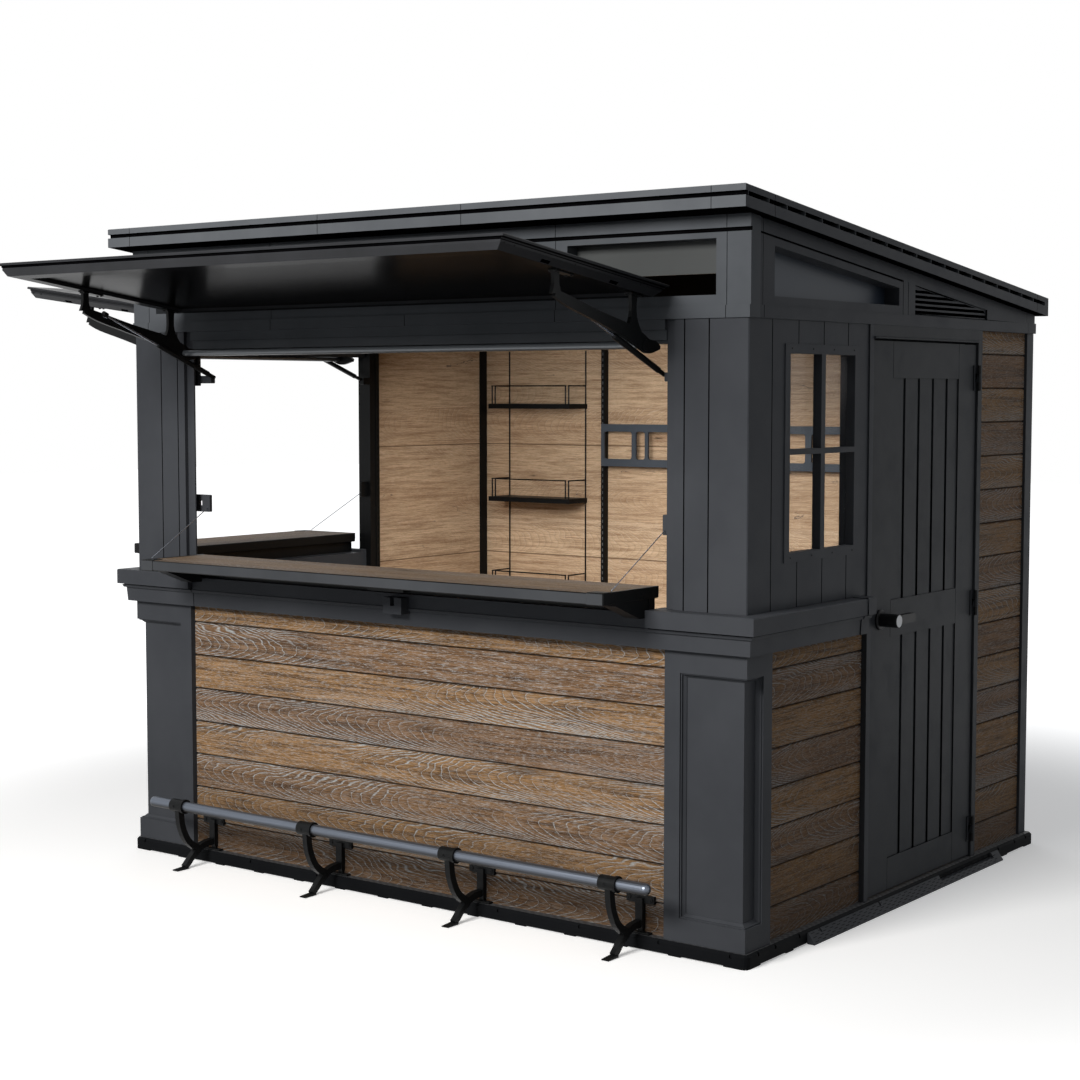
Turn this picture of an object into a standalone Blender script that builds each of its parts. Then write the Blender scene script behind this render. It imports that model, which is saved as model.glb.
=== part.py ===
"""Garden bar hut with an open serving hatch on the front and one on the left side.

Metres, +Z up. The front faces -Y and the bar front runs along X. The origin is the middle of
the base on the ground. In the sizes, a counts along X from the left end of the base and b
counts along Y from its front edge; place() moves them into the centred frame. Fittings that
come on the front and on the left side are drawn once, from distances along the wall, outwards
from the base edge and up, and spot() puts them on either wall.
"""
import math

import bmesh
import bpy
from mathutils import Vector

# Clearances
GAP = 0.0003
DOOR_GAP = 0.0055
DOOR_EDGE_GAP = 0.0072
FITTING_GAP = 0.003
PIN_PLAY = 0.0003

# Base slab, with small notches in its edge and shallow reliefs under it
BASE_WIDTH = 2.700
BASE_DEPTH = 2.131
BASE_HEIGHT = 0.0445
BASE_ROUND = 0.020
BASE_CHAMFER = 0.008
NOTCH_WIDE = 0.009
NOTCH_TALL = 0.012
NOTCH_DEEP = 0.005
NOTCH_BELOW_TOP = 0.003
FRONT_NOTCHES = (0.057, 0.315, 0.617, 0.945)
SIDE_NOTCHES = (0.071, 0.173, 0.321)
RELIEF_PITCH = 0.206
RELIEF_FOOT = 0.045
RELIEF_TALL = 0.004
RELIEF_DEEP = 0.010
RELIEF_END = 0.060

# Threshold ramp
RAMP_OUT = 0.027
RAMP_TOP = 0.036
RAMP_EDGE = 0.003
RAMP_FRONT = 0.368
RAMP_REAR = 1.794
RAMP_CUT_FRONT = 1.300
RAMP_CUT_REAR = 1.735
RAMP_CUT_DOWN = 0.016
RAMP_NOTCHES = (0.4424, 0.8451)

# Heights, stacked from the ground
LOWER_WALL = 0.9032
BELT_MOULD = 0.0653
CAP_TALL = 0.0539
SILL_DROP = 0.0119
POST_TALL = 0.8825
BAND_TALL = 0.0375
FRONT_RISE = 0.2683
REAR_RISE = 0.0298
BELT_BOTTOM = BASE_HEIGHT + LOWER_WALL
CAP_BOTTOM = BELT_BOTTOM + BELT_MOULD
CAP_TOP = CAP_BOTTOM + CAP_TALL
SILL_TOP = CAP_TOP - SILL_DROP
BAND_BOTTOM = CAP_TOP + POST_TALL
BAND_TOP = BAND_BOTTOM + BAND_TALL

# How far the faces stand inside the base edge
BLOCK_INSET = 0.0145
UPPER_INSET = 0.0206
WOOD_INSET = 0.0350
BAND_INSET = 0.0150
WALL_INNER = 0.0750
REAR_INSET = 0.0246

# Lower corner blocks with a panel sunk round the corner
BLOCK_WIDE = 0.2925
BLOCK_DEEP = 0.1485
PANEL_FRONT_EDGE = 0.0560
PANEL_SIDE_EDGE = 0.0510
PANEL_BASE_EDGE = 0.0735
PANEL_HEAD_EDGE = 0.0707
PANEL_DEEP = 0.0215
PANEL_STEPS = ((0.24, 0.0), (0.24, 0.0040), (0.52, 0.0050), (0.88, 0.0130), (1.0, 0.0135))

# Belt moulding: how far each line stands out, and its height above the belt's underside
BELT_FOOT_OUT = 0.0065
BELT_FACE_OUT = 0.0100
BELT_FACE_UP = 0.0500
BELT_STEP_OUT = 0.0175
BELT_STEP_UP = 0.0515
BELT_LIP_OUT = 0.0215
BELT_LIP_UP = 0.0610
BELT_TOP_OUT = 0.0160
BELT_COVER = 0.0022
CAP_OUT = 0.0365
CAP_EASE = 0.003
CAP_TO_SIDE = 0.2420
CAP_SHELL = 0.0009
BELT_STOP = 0.039
STOP_BLOCK = 0.052
STOP_PROUD = 0.003

# Service openings and the posts beside them
OPEN_FROM_END = 0.316
POST_FACE = 0.281
STOP_SETBACK = 0.0154
STOP_THICK = 0.0060
STOP_LAP = 0.046
CORNER_EASE = 0.003
GROOVE_DEEP = 0.004
GROOVE_HALF = 0.0022
FRONT_SEAMS = (0.158, 0.245)
SIDE_SEAM_FIRST = 0.157
SIDE_SEAM_PITCH = 0.159
HEADER_TALL = 0.0734
WALL_SEAM = 0.0022
SEAM_SINK = 0.0022
END_SEAM = 0.098
HIGH_SEAM = 0.727
HEADER_STEPS = ((0.0320, 0.0100), (0.0634, 0.0220))
LEFT_OPEN_FRONT = 0.217
LEFT_OPEN_WIDE = 1.023
LEFT_POST_WIDE = 0.056
LEFT_POST_IN = 0.025
LEFT_STANDARD_WIDE = 0.022
LEFT_STANDARD_IN = 0.028
OPENING_TOP = BAND_BOTTOM - HEADER_TALL
LEFT_OPEN_REAR = LEFT_OPEN_FRONT + LEFT_OPEN_WIDE
LEFT_POST_REAR = LEFT_OPEN_REAR + LEFT_POST_WIDE

# Doorway on the right side
SIDE_WALL_END = 0.774
JAMB_WIDE = 0.035
DOOR_WIDE = 0.788
REAR_JAMB_WIDE = 0.038
DOOR_SILL_GAP = 0.0075
DOOR_HEAD_TALL = 0.0514
DOOR_FACE = 0.0230
DOOR_THICK = 0.040
JAMB_FACE = 0.0160
DOOR_STOP_LAP = 0.012
DOOR_STOP_IN = 0.006
DRIP_OUT = 0.007
DRIP_TALL = 0.009
DRIP_UP = 0.0015
FRONT_STILE = 0.145
REAR_STILE = 0.140
LOW_RAIL = 0.108
MID_RAIL = 0.124
TOP_RAIL = 0.122
MID_RAIL_AT = 0.922
DOOR_BOARDS = 5
EDGE_BOARD = 0.090
DOOR_FIELD_DEEP = 0.004
DOOR_GROOVE_DEEP = 0.010
DOOR_GROOVE_WIDE = 0.018
DOOR_SEAM_WIDE = 0.002
DOOR_SEAM_DEEP = 0.0015
DOOR_FRONT = SIDE_WALL_END + JAMB_WIDE
DOOR_REAR = DOOR_FRONT + DOOR_WIDE
JAMB_END = DOOR_REAR + REAR_JAMB_WIDE
DOOR_BOTTOM = BASE_HEIGHT + DOOR_SILL_GAP
DOOR_TOP = BAND_BOTTOM - DOOR_HEAD_TALL

# Door hinges and handle
HINGE_OUT = 0.0095
HINGE_BEHIND = 0.0025
HINGE_TALL = 0.090
HINGE_RADIUS = 0.0065
HINGE_PIN = 0.0030
HINGE_LEAF = 0.0027
HINGE_LEAF_WIDE = 0.0155
HINGE_FROM_BOTTOM = 0.096
HINGE_FROM_TOP = 0.118
HANDLE_FROM_EDGE = 0.0685
HANDLE_UP = 0.0025
ROSE_RADIUS = 0.034
ROSE_THICK = 0.008
NECK_RADIUS = 0.0225
NECK_LONG = 0.070
LEVER_LONG = 0.150
LEVER_TALL = 0.030
LEVER_THICK = 0.020
LEVER_SETBACK = 0.012

# Side window
WINDOW_FRONT = 0.232
WINDOW_TO_JAMB = 0.068
WINDOW_UP = 0.1415
WINDOW_DOWN = 0.0724
WINDOW_RAIL = 0.0300
MULLION_WIDE = 0.0256
MUNTIN_WIDE = 0.0170
MUNTIN_UP = 0.3384
WINDOW_PROUD = 0.0035
GLASS_BEHIND = 0.030
GLASS_THICK = 0.006
GLASS_LAP = 0.008

# Walls under the roof
HIGH_FROM_END = 0.135
HIGH_WIDE = 0.547
HIGH_UP = 0.0311
HIGH_BELOW_ROOF = 0.0702
HIGH_PANE_UP = 0.098
FRIEZE_STRIP = 0.0410
FRIEZE_GROOVE = 0.0120
FRIEZE_GROOVE_DEEP = 0.006
FRIEZE_PROUD = 0.002
GABLE_LINE_END = 1.012
GABLE_EDGE_WIDE = 0.038
GABLE_GROOVE = 0.006
GABLE_GROOVE_DEEP = 0.005
GABLE_WINDOW_FRONT = 0.167
GABLE_WINDOW_REAR = 0.985
GABLE_WINDOW_UP = 0.029
GABLE_WINDOW_BELOW_ROOF = 0.0705
VENT_FRONT = 1.103
VENT_REAR = 1.680
VENT_BELOW_ROOF = 0.0430
VENT_UP = 0.0030
VENT_POCKET = 0.006
VENT_EDGE = 0.0045
VENT_SLOT = 0.0105
VENT_PITCH = 0.0172
VENT_DEEP = 0.030
VENT_SHORTEST = 0.040
PANE_THICK = 0.006
PANE_LAP = 0.025
REAR_POST_WIDE = 0.0574
REAR_POST_DEEP = 0.0564
CORNER_STRIP_IN = 0.008
CORNER_STRIP_WIDE = 0.046

# Roof, sloping down to the back
ROOF_THICK = 0.0670
ROOF_FRONT_OVER = 0.070
ROOF_REAR_OVER = 0.006
ROOF_SIDE_OVER = 0.0194
ROOF_EASE = 0.002
ROOF_STRIP = 0.0200
ROOF_GROOVE = 0.0135
ROOF_GROOVE_DEEP = 0.012
SLOT_DEEP = 0.035
SLOT_PITCH = 0.1075
SLOT_FIN = 0.003
SLOT_FIRST = 0.062
FASCIA_SEAM = 1.037
SLOT_END = 0.030
ROOF_FALL = (FRONT_RISE - REAR_RISE) / BASE_DEPTH

# Hatches: one section, used on the front and on the left side
HATCH_ROOT_OUT = 0.043
HATCH_ROOT_UP = 0.0271
HATCH_TILT = math.radians(7.4)
HATCH_LENGTH = 0.779
HATCH_SIDE_OVER = 0.030
HATCH_FRONT_OVER = 0.019
HATCH_THICK = 0.042
HATCH_RIM = 0.052
HATCH_FLOOR = 0.010
HATCH_REAR_LEAN = 0.045
HATCH_REAR_RIM = 0.030
HATCH_SLOT_LONG = 0.040
HATCH_SLOT_TALL = 0.008
HATCH_SLOT_IN = 0.034
HATCH_SLOT_UP = 0.006
HATCH_SLOTS = (0.195, 0.530)
HATCH_ROOT_Z = BAND_TOP + HATCH_ROOT_UP

# Hatch arms, their tube and the gas struts
ARM_INSET = 0.029
ARM_THICK = 0.012
ARM_BEAM = ((-0.036, -0.150, 0.005), (-0.010, -0.146, 0.016), (0.030, -0.146, 0.022),
            (0.072, -0.128, 0.024), (0.150, -0.100, 0.022), (0.290, -0.064, 0.017),
            (0.434, -0.026, 0.016), (0.500, -0.005, 0.011))
NECK_REAR = (0.106, 0.0150, 0.034)
NECK_FRONT = (0.495, 0.0125, 0.010)
FLANGE_THICK = 0.003
FLANGE_HALF = 0.014
FLANGE_REAR = (0.074, 0.134)
FLANGE_FRONT = (0.424, 0.512)
TUBE_RADIUS = 0.011
TUBE_OUT = 0.044
TUBE_DROP = 0.144
BOSS_RADIUS = 0.017
BOSS_LONG = 0.004
STRUT_BODY = 0.0095
STRUT_ROD = 0.0045
STRUT_EYE = 0.0070
STRUT_PIN = 0.0102
STRUT_NECK = 0.034
STRUT_PIN_LONG = 0.018
STRUT_SHARE = 0.52
STRUT_TOP = (0.430, -0.014)
STRUT_LOW = (-0.092, -0.231)
STRUT_INSET = ARM_INSET + ARM_THICK / 2.0 + STRUT_PIN + GAP

# Counters and their stays
COUNTER_UP = 0.080
COUNTER_OUT = 0.259
COUNTER_IN = 0.042
COUNTER_THICK = 0.036
COUNTER_END = 0.031
COUNTER_EASE = 0.003
END_COVER_LONG = 0.062
END_COVER_BACK = 0.050
END_COVER_PROUD = 0.0015
SIDE_PLATE_THICK = 0.012
SIDE_PLATE_SEAT = 0.017
GUSSET_WIDE = 0.052
GUSSET_FOOT = 0.045
GUSSET_BEND = 0.74
GUSSET_DROP = 0.007
GUSSET_LOW = 0.0125
RISER_NEAR = 0.006
RISER_THICK = 0.010
CATCH_WIDE = 0.080
CATCH_OUT = 0.055
CATCH_TALL = 0.055
CATCH_DOWN = 0.010
CATCH_SLOT = 0.018
LATCH_WIDE = 0.160
LATCH_OUT = 0.090
LATCH_BACK = 0.050
LATCH_TALL = 0.030
STAY_RADIUS = 0.0016
STAY_OUT = 0.211
STAY_RISE = 0.170
STAY_LEAN = 0.004
COUNTER_TOP = SILL_TOP + COUNTER_UP
COUNTER_UNDER = COUNTER_TOP - COUNTER_THICK

# Tabs behind the posts: end from the opening's edge, near and far behind the wall, low and
# high edge
TAB_LAP = 0.004
TAB_ROOT = STOP_LAP + 0.006
JAMB_TAB_ROOT = 0.024
HOOK_ROOT = 0.022
STRUT_TAB = (-0.014, -TAB_LAP, 0.009, -0.261, -0.152)
STRUT_HOOK = (FITTING_GAP + STRUT_INSET - STRUT_EYE - GAP, 0.007, 0.027, -0.252, -0.224)
STAY_TAB = (0.038, -TAB_LAP, 0.008, 0.155, 0.218)
TAB_HOLE = 0.017
TAB_HOLE_IN = -0.019
TAB_ROUND = 0.004

# Foot rail and its brackets
RAIL_OUT = 0.141
RAIL_Z = 0.236
RAIL_RADIUS = 0.0190
RAIL_END = 0.2545
RAIL_DOME = 0.016
BRACKET_FROM_END = 0.401
BRACKET_COUNT = 4
CLAMP_LONG = 0.065
CLAMP_RADIUS = 0.0235
COLLAR_LONG = 0.010
COLLAR_RADIUS = 0.0262
BRACKET_ARM = ((0.143, 0.222, 0.0130), (0.135, 0.160, 0.0125), (0.105, 0.100, 0.0120),
               (0.052, 0.062, 0.0120))
BRACKET_FOOT = ((0.052, 0.062, 0.0120), (0.085, 0.040, 0.0105), (0.108, 0.018, 0.0100),
                (0.124, 0.0085, 0.0070))
BRACKET_LINK = ((0.052, 0.066, 0.0120), (0.020, 0.076, 0.0115), (-0.022, 0.078, 0.0115))
BRACKET_TOE = (0.112, 0.167, 0.0010, 0.0080)
BRACKET_HALF = 0.010
BRACKET_POST_HALF = 0.0135
BRACKET_POST_DEEP = 0.018
BRACKET_POST_LOW = 0.060
BRACKET_POST_HIGH = 0.158
BRACKET_LUG_HALF = 0.052
BRACKET_LUG_DEEP = 0.010
BRACKET_LUG_LOW = 0.142
BRACKET_LUG_HIGH = 0.166
BRACKET_TAB_HALF = 0.040
BRACKET_TAB_OUT = 0.006
BRACKET_TAB_THICK = 0.006

# Shelves, rack and slotted standards on the back wall
SHELF_COUNT = 3
SHELF_PITCH = 0.412
SHELF_TOP = 1.679
SHELF_THICK = 0.021
SHELF_DEEP = 0.136
SHELF_LEFT = 0.198
SHELF_RIGHT = 0.643
GALLERY_UP = 0.079
WIRE_RADIUS = 0.0032
WIRE_LEFT = 0.2155
WIRE_RIGHT = 0.6365
WIRE_TOP = 0.038
GALLERY_IN = 0.017
GALLERY_BACK = 0.006
STANDARD_LEFT = 0.738
STANDARD_WIDE = 0.0175
STANDARD_DEEP = 0.030
STANDARD_LOW = 0.300
STANDARD_BELOW_BAND = 0.020
RACK_DEEP = 0.010
RACK_LOW = 1.411
RACK_TALL = 0.182
RACK_RAIL = 0.032
RACK_WEBS = ((0.745, 0.760), (0.905, 0.926), (0.973, 0.989), (1.751, 1.779))
RACK_ROUND = 0.010


def place(a, b, z):
    """A point counted from the left end and front edge of the base, in the centred frame."""
    return (a - BASE_WIDTH / 2.0, b - BASE_DEPTH / 2.0, z)


def spot(front, along, out, z):
    """A point of a fitting on the front or left wall: along it, out from the base edge, up."""
    return place(along, -out, z) if front else place(-out, along, z)


def roof_under(b):
    """Height of the roof's underside at a distance b behind the front edge of the base."""
    return BAND_TOP + FRONT_RISE - b * ROOF_FALL


def roof_top(b):
    """Height of the roof's top face at a distance b behind the front edge of the base."""
    return roof_under(b) + ROOF_THICK


def mirror_side(right):
    """A function that counts a from the left end, or from the right end if right is true."""
    def side(a):
        return BASE_WIDTH - a if right else a
    return side


def clear_scene():
    for thing in list(bpy.data.objects):
        bpy.data.objects.remove(thing, do_unlink=True)


def material(name, colour, roughness, metallic=0.0):
    """A plain coloured material."""
    made = bpy.data.materials.new(name)
    made.use_nodes = True
    shader = made.node_tree.nodes["Principled BSDF"]
    shader.inputs["Base Color"].default_value = (*colour, 1.0)
    shader.inputs["Roughness"].default_value = roughness
    shader.inputs["Metallic"].default_value = metallic
    return made


def solid(name, points, faces, look, smooth_angle=None):
    """One closed mesh object from points and faces, with its faces turned outwards."""
    mesh = bpy.data.meshes.new(name)
    work = bmesh.new()
    corners = [work.verts.new(point) for point in points]
    for face in faces:
        work.faces.new([corners[index] for index in face])
    bmesh.ops.remove_doubles(work, verts=work.verts, dist=0.00001)
    bmesh.ops.recalc_face_normals(work, faces=work.faces)
    work.to_mesh(mesh)
    work.free()
    made = bpy.data.objects.new(name, mesh)
    bpy.context.scene.collection.objects.link(made)
    if look is not None:
        mesh.materials.append(look)
    if smooth_angle is not None:
        shade(made, smooth_angle)
    return made


def shade(made, angle):
    """Shade round faces smooth and keep edges sharper than the angle as they are."""
    work = bmesh.new()
    work.from_mesh(made.data)
    for face in work.faces:
        face.smooth = True
    for edge in work.edges:
        edge.smooth = edge.calc_face_angle(3.2) < math.radians(angle)
    work.to_mesh(made.data)
    work.free()


def rings(name, stack, look=None, smooth_angle=None):
    """A closed skin through rings of points with equal counts, capped at both ends."""
    count = len(stack[0])
    points = [point for ring in stack for point in ring]
    faces = [tuple(range(count))]
    for level in range(len(stack) - 1):
        for index in range(count):
            after = (index + 1) % count
            low = level * count
            faces.append((low + index, low + after, low + count + after, low + count + index))
    faces.append(tuple(range((len(stack) - 1) * count, len(stack) * count)))
    return solid(name, points, faces, look, smooth_angle)


def across_x(name, outline, a0, a1, look=None):
    """An outline of (b, z) pushed along X."""
    stack = [[place(a, b, z) for b, z in outline] for a in (a0, a1)]
    return rings(name, stack, look)


def across_y(name, outline, b0, b1, look=None):
    """An outline of (a, z) pushed along Y."""
    stack = [[place(a, b, z) for a, z in outline] for b in (b0, b1)]
    return rings(name, stack, look)


def upright(name, plan, z0, z1, look=None):
    """A plan of (a, b) pushed up."""
    stack = [[place(a, b, z) for a, b in plan] for z in (z0, z1)]
    return rings(name, stack, look)


def box(name, a0, a1, b0, b1, z0, z1, look=None):
    return upright(name, ((a0, b0), (a1, b0), (a1, b1), (a0, b1)), z0, z1, look)


def plate(name, front, outline, along0, along1, look=None):
    """An outline of (out, z) on a side wall fitting, pushed along the wall."""
    stack = [[spot(front, along, out, z) for out, z in outline] for along in (along0, along1)]
    return rings(name, stack, look)


def fitting_box(name, front, along0, along1, out0, out1, z0, z1, look=None):
    outline = ((out0, z0), (out1, z0), (out1, z1), (out0, z1))
    return plate(name, front, outline, along0, along1, look)


def combine(target, others, mode):
    """Add the other solids to the target or cut them out of it, then drop them."""
    for other in others:
        step = target.modifiers.new(mode.lower(), "BOOLEAN")
        step.operation = mode
        step.solver = "EXACT"
        step.object = other
    graph = bpy.context.evaluated_depsgraph_get()
    done = bpy.data.meshes.new_from_object(target.evaluated_get(graph))
    target.modifiers.clear()
    target.data = done
    for other in others:
        bpy.data.objects.remove(other, do_unlink=True)
    return target


def cut(target, *others):
    return combine(target, others, "DIFFERENCE")


def join(target, *others):
    return combine(target, others, "UNION")


def bevel(made, width, angle=40.0):
    """Break the sharp edges of a solid by a small flat."""
    work = bmesh.new()
    work.from_mesh(made.data)
    bmesh.ops.dissolve_limit(work, angle_limit=0.01, verts=work.verts, edges=work.edges)
    sharp = [edge for edge in work.edges if edge.calc_face_angle(0.0) > math.radians(angle)]
    bmesh.ops.bevel(work, geom=sharp, offset=width, segments=1, affect="EDGES",
                    clamp_overlap=True)
    work.to_mesh(made.data)
    work.free()
    return made


def set_origin(made, point):
    """Move an object's origin to a point and leave its shape where it is."""
    shift = Vector(point) - made.location
    for corner in made.data.vertices:
        corner.co -= shift
    made.location = Vector(point)
    return made


def turned(name, start, end, profile, look=None, sides=16):
    """A turned piece: profile holds (distance from start, radius) along the line to end."""
    first = Vector(start)
    axis = (Vector(end) - first).normalized()
    across = axis.cross(Vector((0.0, 0.0, 1.0)))
    if across.length < 0.1:
        across = axis.cross(Vector((1.0, 0.0, 0.0)))
    across.normalize()
    upward = across.cross(axis)
    stack = []
    for distance, size in profile:
        ring = []
        for step in range(sides):
            turn = 2.0 * math.pi * step / sides
            ring.append(first + axis * distance
                        + across * math.cos(turn) * size + upward * math.sin(turn) * size)
        stack.append(ring)
    return rings(name, stack, look, 50.0)


def bar(name, start, end, radius, look=None, sides=12):
    """A round bar between two points."""
    length = (Vector(end) - Vector(start)).length
    return turned(name, start, end, ((0.0, radius), (length, radius)), look, sides)


def smooth_line(knots, steps):
    """Points on a smooth curve through knots of any number of values."""
    line = []
    for index in range(len(knots) - 1):
        before = knots[max(index - 1, 0)]
        start = knots[index]
        end = knots[index + 1]
        after = knots[min(index + 2, len(knots) - 1)]
        for step in range(steps):
            t = step / steps
            line.append(tuple(
                0.5 * (2.0 * p1 + (p2 - p0) * t + (2.0 * p0 - 5.0 * p1 + 4.0 * p2 - p3) * t * t
                       + (3.0 * p1 - p0 - 3.0 * p2 + p3) * t * t * t)
                for p0, p1, p2, p3 in zip(before, start, end, after)))
    line.append(tuple(knots[-1]))
    return line


def strap(knots, steps=4):
    """Outline of a curved strap of changing width; each knot is (out, z, half width)."""
    line = smooth_line(knots, steps)
    left = []
    right = []
    for index, (out, z, half) in enumerate(line):
        before = line[max(index - 1, 0)]
        after = line[min(index + 1, len(line) - 1)]
        run = math.hypot(after[0] - before[0], after[1] - before[1])
        side_out = (before[1] - after[1]) / run * half
        side_up = (after[0] - before[0]) / run * half
        left.append((out + side_out, z + side_up))
        right.append((out - side_out, z - side_up))
    return left + right[::-1]


def raised(knots, height):
    """The same strap knots, lifted by a height."""
    return [(out, z + height, half) for out, z, half in knots]


def base_floor(look):
    """Floor slab with eased edges, rounded corners, edge notches and shallow reliefs."""
    stack = []
    for inset, height in ((0.0, 0.0), (0.0, BASE_HEIGHT - BASE_CHAMFER),
                          (BASE_CHAMFER, BASE_HEIGHT)):
        ring = []
        for a, b, turn in ((1, 0, -90), (1, 1, 0), (0, 1, 90), (0, 0, 180)):
            centre_a = (BASE_WIDTH - BASE_ROUND) if a else BASE_ROUND
            centre_b = (BASE_DEPTH - BASE_ROUND) if b else BASE_ROUND
            for step in range(4):
                angle = math.radians(turn + 30.0 * step)
                ring.append(place(centre_a + (BASE_ROUND - inset) * math.cos(angle),
                                  centre_b + (BASE_ROUND - inset) * math.sin(angle), height))
        stack.append(ring)
    slab = rings("base_floor", stack, look)
    high = BASE_HEIGHT - NOTCH_BELOW_TOP
    low = high - NOTCH_TALL
    half = NOTCH_WIDE / 2.0
    cutters = []
    for at in FRONT_NOTCHES:
        for a in (at, BASE_WIDTH - at):
            cutters.append(box("notch", a - half, a + half, -0.1, NOTCH_DEEP, low, high))
    for at in SIDE_NOTCHES:
        for b in (at, BASE_DEPTH - at):
            for a0, a1 in ((-0.1, NOTCH_DEEP), (BASE_WIDTH - NOTCH_DEEP, BASE_WIDTH + 0.1)):
                cutters.append(box("notch", a0, a1, b - half, b + half, low, high))
    for start, end in reliefs(BASE_WIDTH):
        for b0, b1 in ((-0.1, RELIEF_DEEP), (BASE_DEPTH - RELIEF_DEEP, BASE_DEPTH + 0.1)):
            cutters.append(box("relief", start, end, b0, b1, -0.1, RELIEF_TALL))
    for start, end in reliefs(BASE_DEPTH):
        for a0, a1 in ((-0.1, RELIEF_DEEP), (BASE_WIDTH - RELIEF_DEEP, BASE_WIDTH + 0.1)):
            cutters.append(box("relief", a0, a1, start, end, -0.1, RELIEF_TALL))
    return cut(slab, *cutters)


def reliefs(length):
    """Spans of the shallow cuts between the feet along one edge of the base."""
    clear = length - 2.0 * RELIEF_END
    count = max(1, round(clear / RELIEF_PITCH))
    pitch = clear / count
    spans = []
    for index in range(count):
        start = RELIEF_END + index * pitch + RELIEF_FOOT / 2.0
        spans.append((start, start + pitch - RELIEF_FOOT))
    return spans


def threshold_ramp(look):
    """Sloping strip along the base below the door, with two notches and a cut-out on top."""
    inner = BASE_WIDTH + GAP
    outer = BASE_WIDTH + RAMP_OUT
    section = ((outer, 0.0), (outer, RAMP_EDGE), (inner + RAMP_EDGE, RAMP_TOP),
               (inner, RAMP_TOP), (inner, 0.0))
    ramp = across_y("threshold_ramp", section, RAMP_FRONT, RAMP_REAR, look)
    low = RAMP_TOP - RAMP_CUT_DOWN
    cutters = [box("cutter", inner - 0.1, outer, RAMP_CUT_FRONT, RAMP_CUT_REAR, low, 0.1)]
    for at in RAMP_NOTCHES:
        cutters.append(box("cutter", inner - 0.1, outer, at - NOTCH_WIDE / 2.0,
                           at + NOTCH_WIDE / 2.0, RAMP_TOP - NOTCH_TALL, 0.1))
    return cut(ramp, *cutters)


def corner_block(name, right, look):
    """Lower corner block: an L in plan, with a moulded panel sunk round the corner."""
    side = mirror_side(right)
    near = BLOCK_INSET
    wide = BLOCK_INSET + BLOCK_WIDE
    deep = BLOCK_INSET + BLOCK_DEEP
    plan = ((side(near), near), (side(wide), near), (side(wide), WALL_INNER),
            (side(WALL_INNER), WALL_INNER), (side(WALL_INNER), deep), (side(near), deep))
    block = upright(name, plan, BASE_HEIGHT + GAP, BELT_BOTTOM - GAP, look)
    low = BASE_HEIGHT + PANEL_BASE_EDGE
    high = BELT_BOTTOM - PANEL_HEAD_EDGE
    away = -0.1
    steps = [(away, 0.0)] + [(near + PANEL_DEEP * share, inset) for share, inset in PANEL_STEPS]
    front_rings = []
    side_rings = []
    for depth, inset in steps:
        edge = wide - PANEL_FRONT_EDGE - inset
        front_rings.append([place(side(a), depth, z) for a, z in
                            ((away, low + inset), (edge, low + inset), (edge, high - inset),
                             (away, high - inset))])
        edge = deep - PANEL_SIDE_EDGE - inset
        side_rings.append([place(side(depth), b, z) for b, z in
                           ((away, low + inset), (edge, low + inset), (edge, high - inset),
                            (away, high - inset))])
    return cut(block, rings("cutter", front_rings), rings("cutter", side_rings))


def sweep(name, section, stations, look=None):
    """A closed section carried through stations; stations(out, z) gives its points in order."""
    lines = [stations(out, z) for out, z in section]
    stack = [[line[station] for line in lines] for station in range(len(lines[0]))]
    return rings(name, stack, look)


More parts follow.
